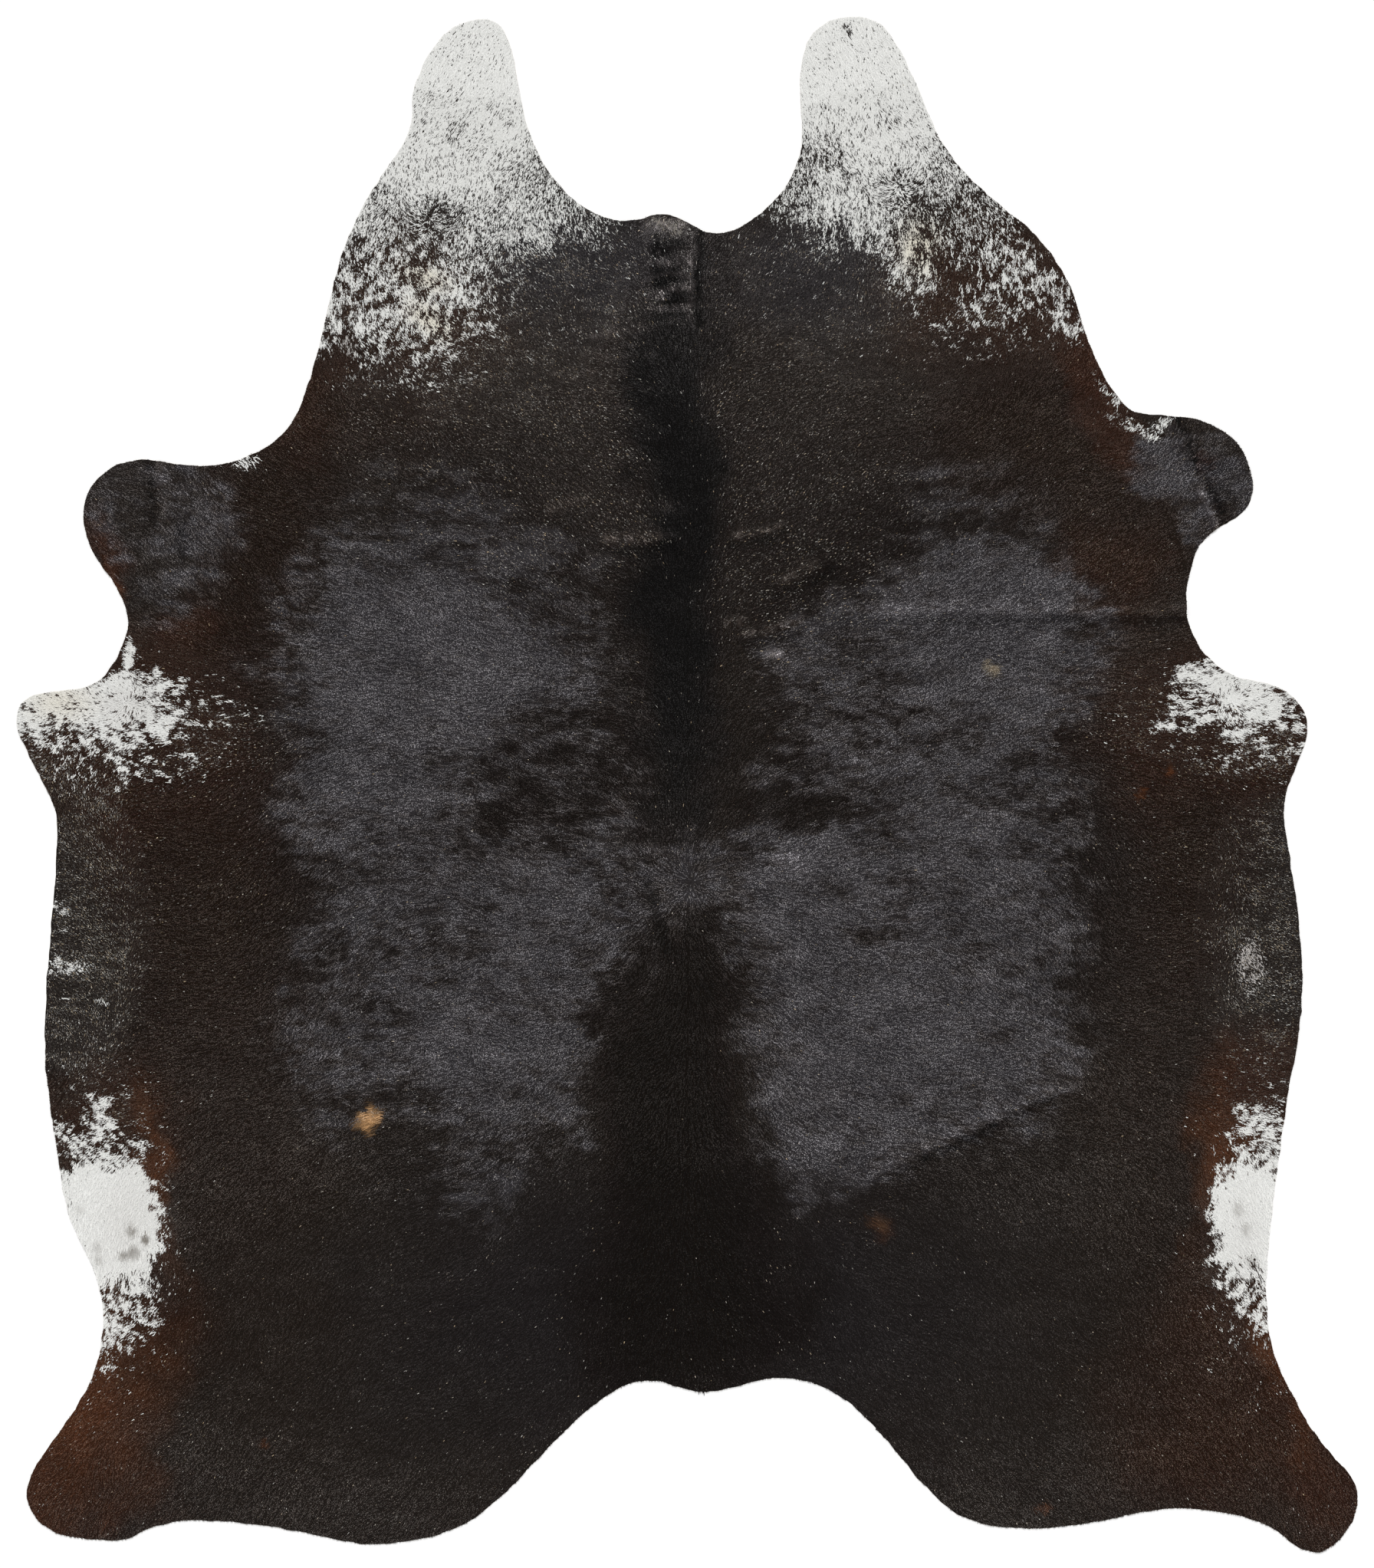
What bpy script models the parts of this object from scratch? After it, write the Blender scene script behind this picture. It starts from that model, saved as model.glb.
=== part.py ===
"""Cowhide rug: one whole tanned cow hide with its hair on, laid out flat.

A hide is one piece of skin, so the rug is one thin closed sheet. Its cut edge is a smooth loop
through landmarks, with one short table for each stretch of the edge. The folds that are left in
the skin are soft ridges, with one row for each.

+Y runs from the tail to the neck, +X to the right of the spine as seen from above, and +Z up.
The origin is on the surface that the rug lies on, under the middle of its length and width.
"""

import math
from typing import NamedTuple

import bmesh
import bpy
import numpy as np
from mathutils import Vector
from mathutils.geometry import delaunay_2d_cdt

# Driving dimensions, in metres.
HIDE_LENGTH = 2.295  # from the tips of the neck to the hind legs
HIDE_WIDTH = 2.004  # from the left elbow to the right hind leg
HIDE_THICKNESS = 0.003  # the skin with its coat lying flat on it

# How finely the sheet is divided, in metres.
EDGE_STEP = 0.014  # along the cut edge
FOLD_STEP = 0.014  # along a fold
FIELD_STEP = 0.080  # in the flat field
EDGE_CLEARANCE = 0.007  # from a point inside the sheet to the cut edge
POINT_CLEARANCE = 0.005  # between two points of different folds
FIELD_CLEARANCE = 0.030  # from a point of the field to the edge or to a fold
ACROSS_FOLD = (-1.0, -0.5, 0.0, 0.5, 1.0)  # rows of points across a fold, in half widths

COAT_COLOUR = (0.012, 0.010, 0.009, 1.0)
COAT_ROUGHNESS = 0.6

MM = 0.001
SHARP_ANGLE = math.radians(40)
INSIDE = 1  # the triangulation keeps only the triangles inside the edge
WELD = 0.00001  # points nearer than this are one

# The cut edge, clockwise as seen from above. Each pair is x, y in millimetres from the middle.
CUT_EDGE = {
    "left of the neck, outside": (
        (-600, 530), (-550, 660), (-490, 855), (-417, 975), (-410, 1030), (-365, 1118),
    ),
    "left of the neck, inside": (
        (-312, 1141), (-277, 1129), (-237, 975), (-161, 865), (-111, 843),
    ),
    "hollow of the neck": (
        (-79, 842), (-50, 850), (-13, 845), (44, 822), (130, 872),
    ),
    "right of the neck, inside": (
        (164, 930), (171, 975), (168, 1055), (184, 1115), (212, 1139),
    ),
    "right of the neck, outside": (
        (255, 1146), (299, 1123), (352, 1018), (387, 948), (448, 880), (518, 821), (566, 755),
        (586, 700), (617, 620), (661, 560),
    ),
    "right foreleg": (
        (702, 552), (812, 518), (840, 420), (786, 377), (755, 332), (746, 255), (765, 205),
        (814, 162),
    ),
    "right elbow": (
        (863, 151), (905, 130), (927, 90), (916, 44), (893, -25),
    ),
    "right belly": (
        (898, -95), (919, -294), (903, -432), (879, -590),
    ),
    "right hind leg": (
        (868, -810), (900, -905), (951, -987), (998, -1048), (995, -1098), (960, -1141),
        (923, -1145), (863, -1107), (732, -1083), (640, -1096),
    ),
    "right of the tail": (
        (518, -1112), (427, -1101), (360, -1055), (233, -919), (118, -889),
    ),
    "left of the tail": (
        (20, -909), (-56, -891), (-160, -944), (-294, -1078), (-375, -1122),
    ),
    "left hind leg": (
        (-478, -1136), (-569, -1119), (-730, -1100), (-779, -1105), (-814, -1116), (-832, -1126),
        (-899, -1128), (-961, -1109), (-988, -1062), (-965, -1003), (-901, -907),
    ),
    "left belly": (
        (-876, -770), (-924, -647), (-942, -552), (-958, -443), (-958, -294), (-943, -77),
        (-959, -6),
    ),
    "left elbow": (
        (-1003, 93), (-979, 131), (-900, 145), (-856, 184),
    ),
    "left foreleg": (
        (-838, 238), (-851, 288), (-892, 352), (-903, 410), (-880, 458), (-821, 484),
        (-735, 475), (-661, 488),
    ),
}


class Fold(NamedTuple):
    """A soft ridge from (x0, y0) to (x1, y1), rising by rise0 and rise1 there. In millimetres."""

    name: str
    x0: float
    y0: float
    rise0: float
    x1: float
    y1: float
    rise1: float
    half_width: float


FOLDS = (
    Fold("right foreleg, crease by the hoof end", 745, 470, 1.0, 786, 390, 5.0, 14),
    Fold("right foreleg, roll at the top", 725, 535, 2.5, 752, 475, 2.0, 14),
    Fold("right foreleg, ridge to the armpit", 722, 395, 2.0, 744, 325, 2.5, 13),
    Fold("right armpit, long cross crease", 744, 258, 5.0, 232, 254, 0.0, 15),
    Fold("left foreleg, crease at the top", -786, 474, 4.0, -792, 425, 1.5, 14),
    Fold("left foreleg, lower crease", -749, 402, 2.0, -751, 345, 1.5, 12),
    Fold("left withers, cross ridge", -131, 378, 1.5, -16, 366, 2.5, 12),
    Fold("right withers, cross ridge", 66, 368, 1.5, 140, 386, 2.0, 12),
    Fold("right shoulder, slanting ridge", 134, 301, 3.0, 215, 334, 2.0, 12),
    Fold("right shoulder, long pucker", 84, 227, 2.5, 166, 243, 3.0, 12),
    Fold("right shoulder, short pucker", 53, 246, 2.0, 90, 246, 2.0, 9),
    Fold("right loin, crease to the flank", 551, -459, 0.5, 430, -515, 4.0, 16),
    Fold("right loin, crease to the spine", 430, -515, 4.0, 285, -581, 0.5, 16),
    Fold("mane, hump at the neck edge", -52, 834, 4.0, -8, 831, 4.0, 20),
    Fold("mane, crest along the spine", -22, 812, 2.5, -18, 690, 0.5, 30),
)

# The wrinkles across the mane, in millimetres: they lie one below the other along the spine.
WRINKLE_COUNT = 5
WRINKLE_TOP = 800
WRINKLE_PITCH = 20
WRINKLE_LEFT = -46
WRINKLE_RIGHT = 4
WRINKLE_RISE = 1.5
WRINKLE_HALF_WIDTH = 8


def clear_scene():
    """Remove the objects that the scene starts with."""
    for obj in list(bpy.data.objects):
        bpy.data.objects.remove(obj, do_unlink=True)


def mane_wrinkles():
    """The wrinkles across the mane, one fold each."""
    rows = []
    for number in range(WRINKLE_COUNT):
        y = WRINKLE_TOP - number * WRINKLE_PITCH
        rows.append(
            Fold(
                "mane, wrinkle %d" % (number + 1),
                WRINKLE_LEFT, y, WRINKLE_RISE,
                WRINKLE_RIGHT, y, WRINKLE_RISE,
                WRINKLE_HALF_WIDTH,
            )
        )
    return tuple(rows)


def smooth_loop(landmarks, step):
    """Points about step apart on the closed cubic spline through the landmarks.

    The spline's parameter grows with the square root of the distance between landmarks, which
    keeps the tight turns round. Its second derivatives at the landmarks solve one linear system.
    """
    count = len(landmarks)
    following = np.roll(landmarks, -1, axis=0)
    spans = np.linalg.norm(following - landmarks, axis=1)
    widths = np.sqrt(spans)
    before = np.roll(widths, 1)
    rows = np.arange(count)
    system = np.zeros((count, count))
    system[rows, rows] = 2 * (before + widths)
    system[rows, (rows + 1) % count] = widths
    system[rows, (rows - 1) % count] = before
    slopes = (following - landmarks) / widths[:, None]
    bends = np.linalg.solve(system, 6 * (slopes - np.roll(slopes, 1, axis=0)))
    pieces = []
    for i in range(count):
        j = (i + 1) % count
        width = widths[i]
        steps = max(2, round(spans[i] / step))
        after = np.linspace(0, width, steps, endpoint=False)[:, None]
        left = width - after
        pieces.append(
            (bends[i] * left**3 + bends[j] * after**3) / (6 * width)
            + (landmarks[i] / width - bends[i] * width / 6) * left
            + (landmarks[j] / width - bends[j] * width / 6) * after
        )
    return np.vstack(pieces)


def cut_edge():
    """The cut edge at its full size and centred, and the function that places a table's point on it."""
    landmarks = np.array([point for stretch in CUT_EDGE.values() for point in stretch]) * MM
    edge = smooth_loop(landmarks, EDGE_STEP)
    low, high = edge.min(axis=0), edge.max(axis=0)
    scale = np.array((HIDE_WIDTH, HIDE_LENGTH)) / (high - low)

    def place(point):
        return (point - (low + high) / 2) * scale

    return place(edge), place


def fold_line(fold, place):
    """Where a fold starts on the hide, and how it runs from there."""
    start = place(np.array((fold.x0, fold.y0)) * MM)
    return start, place(np.array((fold.x1, fold.y1)) * MM) - start


def along_fold(points, fold, place):
    """How far each point lies from a fold's line, and its share of the way along it."""
    start, run = fold_line(fold, place)
    share = np.clip((points - start) @ run / (run @ run), 0, 1)
    distance = np.linalg.norm(points - (start + share[:, None] * run), axis=1)
    return distance, share


def highest_ridge(points, folds, place):
    """The height of the highest of the folds at each point: a cosine squared across each ridge."""
    highest = np.zeros(len(points))
    for fold in folds:
        distance, share = along_fold(points, fold, place)
        across = np.minimum(distance / (fold.half_width * MM), 1)
        rise = fold.rise0 + (fold.rise1 - fold.rise0) * share
        highest = np.maximum(highest, rise * MM * np.cos(across * math.pi / 2) ** 2)
    return highest


def fold_points(fold, place):
    """Rows of points along a fold, out to its foot on both sides and round both its ends."""
    start, run = fold_line(fold, place)
    length = np.linalg.norm(run)
    forward = run / length
    sideways = np.array((-forward[1], forward[0]))
    reach = fold.half_width * MM
    steps = max(2, math.ceil((length + 2 * reach) / FOLD_STEP))
    along = np.linspace(-reach, length + reach, steps + 1)
    across = np.array(ACROSS_FOLD) * reach
    grid = along[:, None, None] * forward + across[None, :, None] * sideways
    return start + grid.reshape(-1, 2)


def field_points(edge):
    """A lattice of triangles over the whole sheet."""
    row_height = FIELD_STEP * math.sqrt(3) / 2
    low, high = edge.min(axis=0), edge.max(axis=0)
    ys = np.arange(low[1], high[1], row_height)
    xs = np.arange(low[0], high[0], FIELD_STEP)
    rows = []
    for number, y in enumerate(ys):
        shift = (number % 2) * FIELD_STEP / 2
        rows.append(np.column_stack((xs + shift, np.full(len(xs), y))))
    return np.vstack(rows)


def is_inside(points, edge):
    """Whether each point is inside: a line from it to the right crosses the edge an odd number of times."""
    x, y = points[:, 0, None], points[:, 1, None]
    x0, y0 = edge[:, 0], edge[:, 1]
    x1, y1 = np.roll(x0, -1), np.roll(y0, -1)
    spans_y = (y0 > y) != (y1 > y)
    rise = np.where(y1 == y0, 1.0, y1 - y0)
    crossing = x0 + (y - y0) * (x1 - x0) / rise
    return (spans_y & (x < crossing)).sum(axis=1) % 2 == 1


def far_from(points, others, distance):
    """Whether each point is at least a distance from all the others."""
    gaps = np.linalg.norm(points[:, None] - others[None], axis=2)
    return gaps.min(axis=1) >= distance


def sheet_points(edge, folds, place):
    """The points inside the sheet: close together on the folds, and wide apart in the flat field."""
    inside = np.empty((0, 2))
    for fold in folds:
        rows = fold_points(fold, place)
        rows = rows[is_inside(rows, edge) & far_from(rows, edge, EDGE_CLEARANCE)]
        if len(inside):
            rows = rows[far_from(rows, inside, POINT_CLEARANCE)]
        inside = np.vstack((inside, rows))
    field = field_points(edge)
    field = field[is_inside(field, edge) & far_from(field, edge, FIELD_CLEARANCE)]
    field = field[far_from(field, inside, FIELD_CLEARANCE)]
    return np.vstack((inside, field))


def hide_material():
    """The dark coat."""
    material = bpy.data.materials.new("hair-on hide")
    material.use_nodes = True
    shader = material.node_tree.nodes["Principled BSDF"]
    shader.inputs["Base Color"].default_value = COAT_COLOUR
    shader.inputs["Roughness"].default_value = COAT_ROUGHNESS
    shader.inputs["Metallic"].default_value = 0.0
    material.diffuse_color = COAT_COLOUR
    return material


def make_hide():
    """The hide: its underside is the triangulated sheet, and its hair side is that, raised."""
    edge, place = cut_edge()
    wrinkles = mane_wrinkles()
    flat = np.vstack((edge, sheet_points(edge, FOLDS + wrinkles, place)))
    rim = list(range(len(edge)))
    corners, _, triangles, *_ = delaunay_2d_cdt([Vector(point) for point in flat], [], [rim], INSIDE, WELD)
    flat = np.array(corners)
    lift = highest_ridge(flat, FOLDS, place) + highest_ridge(flat, wrinkles, place)

    shape = bmesh.new()
    points = [shape.verts.new((x, y, z)) for (x, y), z in zip(flat, lift)]
    for triangle in triangles:
        shape.faces.new([points[corner] for corner in triangle])
    raised = bmesh.ops.extrude_face_region(shape, geom=shape.faces[:], use_keep_orig=True)
    hair_side = [item for item in raised["geom"] if isinstance(item, bmesh.types.BMVert)]
    bmesh.ops.translate(shape, verts=hair_side, vec=(0, 0, HIDE_THICKNESS))
    bmesh.ops.recalc_face_normals(shape, faces=shape.faces[:])

    mesh = bpy.data.meshes.new("cowhide")
    shape.to_mesh(mesh)
    shape.free()
    mesh.shade_smooth()
    mesh.set_sharp_from_angle(angle=SHARP_ANGLE)
    mesh.materials.append(hide_material())
    hide = bpy.data.objects.new("cowhide", mesh)
    bpy.context.scene.collection.objects.link(hide)
    return hide


def main():
    clear_scene()
    make_hide()


main()
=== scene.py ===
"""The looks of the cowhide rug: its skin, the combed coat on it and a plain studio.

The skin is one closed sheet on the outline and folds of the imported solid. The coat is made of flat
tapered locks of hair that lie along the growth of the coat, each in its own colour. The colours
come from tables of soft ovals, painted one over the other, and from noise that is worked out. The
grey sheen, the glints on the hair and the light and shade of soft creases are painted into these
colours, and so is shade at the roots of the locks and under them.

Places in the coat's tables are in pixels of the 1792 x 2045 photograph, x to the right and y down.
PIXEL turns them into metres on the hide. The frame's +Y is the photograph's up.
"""

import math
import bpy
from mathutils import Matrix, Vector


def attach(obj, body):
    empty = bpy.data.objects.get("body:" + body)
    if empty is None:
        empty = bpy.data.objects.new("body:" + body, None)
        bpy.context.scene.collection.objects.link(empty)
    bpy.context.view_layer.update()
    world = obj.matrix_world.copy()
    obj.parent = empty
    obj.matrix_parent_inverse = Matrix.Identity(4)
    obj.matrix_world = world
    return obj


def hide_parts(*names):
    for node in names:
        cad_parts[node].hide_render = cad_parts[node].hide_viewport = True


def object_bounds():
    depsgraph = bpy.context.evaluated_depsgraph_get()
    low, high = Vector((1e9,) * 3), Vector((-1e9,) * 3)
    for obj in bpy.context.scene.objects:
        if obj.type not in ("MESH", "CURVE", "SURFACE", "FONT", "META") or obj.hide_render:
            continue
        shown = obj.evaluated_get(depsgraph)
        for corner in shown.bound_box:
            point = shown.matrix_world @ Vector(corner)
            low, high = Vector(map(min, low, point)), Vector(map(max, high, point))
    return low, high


bl_info = {
    "name": "Cowhide Rug",
    "version": (1, 0, 0),
    "blender": (4, 5, 0),
    "location": "3D View > Sidebar > Cowhide",
    "description": "Lays a hair-on cowhide rug: its skin, its combed coat and a plain studio",
    "category": "Object",
}

import bpy
import numpy as np
from bpy.props import FloatProperty, FloatVectorProperty, IntProperty, PointerProperty
from mathutils.geometry import delaunay_2d_cdt

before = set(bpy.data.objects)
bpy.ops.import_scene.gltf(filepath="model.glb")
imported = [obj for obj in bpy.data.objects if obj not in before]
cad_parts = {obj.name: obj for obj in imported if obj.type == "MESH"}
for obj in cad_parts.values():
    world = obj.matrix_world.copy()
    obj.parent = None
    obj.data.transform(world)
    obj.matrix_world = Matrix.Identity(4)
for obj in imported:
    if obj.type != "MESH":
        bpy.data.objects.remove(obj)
CAD_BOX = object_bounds()
NODE = "cowhide"
BODY = "root"

MM = 0.001
TINY = 1e-6  # too small to matter, and keeps a divisor from being nothing

# How the photograph lies on the hide.
PICTURE_WIDTH = 1792
PICTURE_HEIGHT = 2045
PIXEL = 1.14542 * MM  # one pixel of the photograph on the hide
PICTURE_X = 896.3  # the pixel column at the frame's x = 0
PICTURE_Y = 1023.0  # the pixel row at the frame's y = 0

# --- Colours, as red, green and blue from 0 to 255.

HAIR_COLOURS = {
    "charcoal": (27, 22, 19),
    "black": (12, 10, 10),
    "sable": (16, 11, 8),
    "slate": (25, 23, 25),
    # back: the bluish grey of the painted sheen, a reflection painted into the hair's colour
    "back": (23, 21, 23),
    "umber": (22, 13, 7),
    "chestnut": (32, 17, 8),
    "russet": (42, 22, 13),
    "rust": (74, 40, 22),
    "tan": (214, 164, 112),
    "pale": (204, 201, 196),
    "straw": (214, 190, 154),
}
WHITE_COLOURS = {
    "white": (229, 229, 226),
    "cream": (222, 212, 188),
    "grey": (176, 170, 166),
    "dusk": (130, 125, 118),
}

# --- The folds in the skin, as in the solid. In millimetres on the hide: x0, y0, rise0, x1, y1,
# rise1 and half width.

FOLDS = (
    (745, 470, 1.0, 786, 390, 5.0, 14),  # right foreleg, crease by the hoof end
    (725, 535, 2.5, 752, 475, 2.0, 14),  # right foreleg, roll at the top
    (722, 395, 2.0, 744, 325, 2.5, 13),  # right foreleg, ridge to the armpit
    (744, 258, 5.0, 232, 254, 0.0, 15),  # right armpit, long cross crease
    (-786, 474, 4.0, -792, 425, 1.5, 14),  # left foreleg, crease at the top
    (-749, 402, 2.0, -751, 345, 1.5, 12),  # left foreleg, lower crease
    (-131, 378, 1.5, -16, 366, 2.5, 12),  # left withers, cross ridge
    (66, 368, 1.5, 140, 386, 2.0, 12),  # right withers, cross ridge
    (134, 301, 3.0, 215, 334, 2.0, 12),  # right shoulder, slanting ridge
    (84, 227, 2.5, 166, 243, 3.0, 12),  # right shoulder, long pucker
    (53, 246, 2.0, 90, 246, 2.0, 9),  # right shoulder, short pucker
    (551, -459, 0.5, 430, -515, 4.0, 16),  # right loin, crease to the flank
    (430, -515, 4.0, 285, -581, 0.5, 16),  # right loin, crease to the spine
    (-52, 834, 4.0, -8, 831, 4.0, 20),  # mane, hump at the neck edge
    (-22, 812, 2.5, -18, 690, 0.5, 30),  # mane, crest along the spine
)
FOLD_SHIFT = (0.7, 0.8)  # in millimetres: the solid is centred on its box

# The wrinkles across the mane, as further folds: they lie one below the other along the spine.
WRINKLES = tuple((-46, y, 1.5, 4, y, 1.5, 8) for y in range(800, 700, -20))

# --- The coat's tables. Each row is a soft oval: x, y, half width, half height, turn in degrees
# clockwise, softness of the rim from 0 to 1, and the value or strength painted over what is there.

# Dark hair: colour, then the oval.
DARK_WASHES = (
    ("slate", 745, 345, 130, 75, 0, 0.7, 0.8), ("slate", 1050, 345, 110, 75, 0, 0.7, 0.7),
    ("chestnut", 520, 400, 130, 90, 0, 0.6, 0.7), ("chestnut", 1300, 365, 130, 110, 25, 0.6, 0.85),
    ("umber", 470, 530, 130, 65, 0, 0.7, 0.8), ("umber", 345, 690, 85, 170, 12, 0.6, 0.95),
    ("umber", 265, 850, 80, 60, 0, 0.6, 0.9), ("umber", 1330, 560, 150, 90, 0, 0.8, 0.9),
    ("umber", 1440, 680, 110, 120, 0, 0.7, 0.8), ("russet", 1425, 480, 34, 80, -22, 0.7, 0.9),
    ("russet", 1445, 560, 50, 26, 30, 0.8, 0.5), ("chestnut", 400, 520, 50, 60, 20, 0.7, 0.7),
    ("chestnut", 1440, 745, 60, 60, 0, 0.8, 0.7), ("russet", 142, 735, 20, 44, -10, 0.8, 0.9),
    ("rust", 150, 770, 12, 26, -20, 0.8, 0.6), ("russet", 245, 838, 26, 20, 0, 0.8, 0.85),
    ("russet", 1582, 608, 12, 14, 0, 0.8, 0.7), ("chestnut", 140, 935, 190, 110, 0, 0.6, 0.95),
    ("chestnut", 1610, 935, 190, 110, 0, 0.6, 0.95), ("chestnut", 245, 1060, 130, 120, 0, 0.7, 0.95),
    ("umber", 250, 1210, 110, 150, 0, 0.7, 0.9), ("umber", 320, 1300, 110, 260, 0, 0.8, 0.5),
    ("chestnut", 170, 1440, 70, 80, 0, 0.8, 0.6), ("umber", 300, 1660, 150, 260, 0, 0.9, 0.45),
    ("chestnut", 1545, 1010, 80, 90, 0, 0.8, 0.9), ("umber", 1570, 1160, 70, 140, 0, 0.7, 0.9),
    ("umber", 1490, 1240, 90, 260, 0, 0.8, 0.5), ("umber", 1530, 1720, 120, 260, 0, 0.9, 0.5),
    ("chestnut", 130, 1480, 100, 80, 0, 0.7, 0.9), ("chestnut", 1645, 1480, 70, 80, 0, 0.7, 0.9),
    ("chestnut", 170, 1740, 80, 80, 0, 0.7, 0.9), ("chestnut", 1630, 1700, 80, 80, 0, 0.7, 0.9),
    ("rust", 210, 1535, 22, 90, -8, 0.9, 0.55), ("rust", 1598, 1500, 24, 80, 10, 0.9, 0.60),
    ("russet", 1650, 1400, 50, 50, 0, 0.8, 0.6), ("rust", 100, 1860, 80, 130, 24, 0.8, 0.75),
    ("russet", 100, 1950, 90, 50, 0, 0.8, 0.6), ("chestnut", 1610, 1870, 130, 130, 0, 0.9, 0.9),
    ("rust", 1668, 1795, 20, 90, -18, 0.9, 0.80), ("russet", 1700, 1870, 40, 110, -30, 0.8, 0.6),
    ("russet", 1730, 1950, 40, 60, 0, 0.8, 0.6), ("sable", 610, 1090, 260, 420, 0, 0.4, 0.8),
    ("sable", 1190, 1090, 250, 440, 0, 0.4, 0.8), ("slate", 900, 1710, 340, 170, 0, 0.8, 0.7),
    ("sable", 860, 640, 330, 150, 0, 0.7, 0.6), ("black", 882, 700, 54, 440, 0, 0.6, 0.95),
    ("sable", 885, 1430, 80, 270, 0, 0.5, 0.95), ("sable", 895, 1690, 140, 190, 0, 0.5, 0.95),
)

# The glints on the hair away from the sheen, painted into its colour as highlights: how strong they
# are, beside the sheen's.
PAINTED_GLINTS = (
    (730, 400, 170, 110, 0, 0.8, 0.55), (700, 560, 170, 130, 20, 0.8, 0.46),
    (1060, 380, 150, 90, 0, 0.8, 0.50), (1030, 560, 170, 140, -20, 0.8, 0.42),
    (630, 645, 120, 60, 10, 0.8, 0.50), (560, 630, 110, 70, 0, 0.8, 0.35),
    (300, 980, 90, 60, 0, 0.8, 0.30), (1500, 950, 80, 60, 0, 0.8, 0.30),
    (340, 760, 90, 120, 0, 0.8, 0.17), (240, 1120, 110, 200, 0, 0.8, 0.22),
    (1560, 1120, 110, 200, 0, 0.8, 0.22), (868, 350, 40, 80, 0, 0.6, 0.55),
    (836, 372, 22, 56, 0, 0.8, 0.75), (882, 770, 62, 360, 0, 0.6, 0.10),
    (885, 1450, 110, 290, 0, 0.4, 0.11), (880, 1690, 330, 200, 0, 0.8, 0.15),
    (895, 1660, 150, 150, 0, 0.8, 0.10), (600, 1080, 270, 440, 0, 0.3, 0.16),
    (1190, 1080, 260, 460, 0, 0.3, 0.16), (905, 1145, 60, 36, 0, 0.7, 0.5),
)
PAINTED_GLINTS_ELSEWHERE = 0.275

# The grey sheen of the short coat on the back, a reflection painted into its colour: its share, from 0
# to 1.
PAINTED_SHEEN = (
    (622, 1080, 232, 380, 0, 0.3, 0.45), (570, 830, 190, 130, 0, 0.5, 0.97),
    (530, 980, 118, 150, 0, 0.5, 0.90), (730, 870, 60, 34, 0, 0.8, 0.85),
    (580, 1120, 150, 90, 0, 0.4, 0.75), (720, 1215, 110, 90, 0, 0.6, 0.80),
    (618, 1490, 64, 80, 0, 0.8, 0.55), (625, 1380, 165, 105, 0, 0.6, 0.88),
    (495, 1500, 80, 60, 0, 0.8, 0.08), (470, 1330, 90, 120, 0, 0.7, 0.60),
    (715, 1040, 120, 80, -8, 0.6, 0.22), (680, 960, 80, 40, 0, 0.8, 0.42),
    (755, 750, 110, 60, 0, 0.6, 0.25), (810, 900, 40, 150, 0, 0.8, 0.30),
    (435, 1240, 50, 70, 0, 0.7, 0.35), (1265, 835, 160, 130, 0, 0.5, 1.00),
    (1100, 870, 110, 60, 0, 0.7, 0.60), (1130, 990, 170, 80, 0, 0.5, 0.40),
    (1110, 1068, 140, 42, 0, 0.6, 0.12), (1290, 1000, 100, 120, 0, 0.8, 0.65),
    (1080, 1230, 170, 130, 0, 0.3, 0.92), (1250, 1210, 130, 190, 0, 0.6, 0.75),
    (1110, 1400, 170, 130, 0, 0.35, 0.94), (1290, 1400, 100, 90, -25, 0.6, 0.80),
    (1080, 1510, 80, 46, 0, 0.5, 0.80), (1150, 1215, 40, 16, 10, 0.8, 0.20),
    (242, 700, 50, 110, 0, 0.7, 0.56), (150, 700, 26, 60, 0, 0.7, 0.42),
    (160, 632, 36, 34, 0, 0.7, 0.15), (1510, 603, 52, 36, 0, 0.5, 0.85),
    (1545, 645, 28, 40, -20, 0.6, 0.68), (1610, 640, 34, 46, 0, 0.6, 0.68),
    (1590, 575, 46, 20, 10, 0.7, 0.38), (1540, 705, 14, 36, -10, 0.7, 0.48),
    (540, 650, 100, 60, 0, 0.8, 0.35), (600, 712, 120, 44, 0, 0.8, 0.62),
    (1240, 640, 90, 60, 0, 0.8, 0.25), (886, 720, 78, 450, 0, 0.5, 0.0),
    (890, 1455, 112, 270, 0, 0.4, 0.0), (900, 1140, 70, 40, 0, 0.6, 0.42),
)

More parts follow.
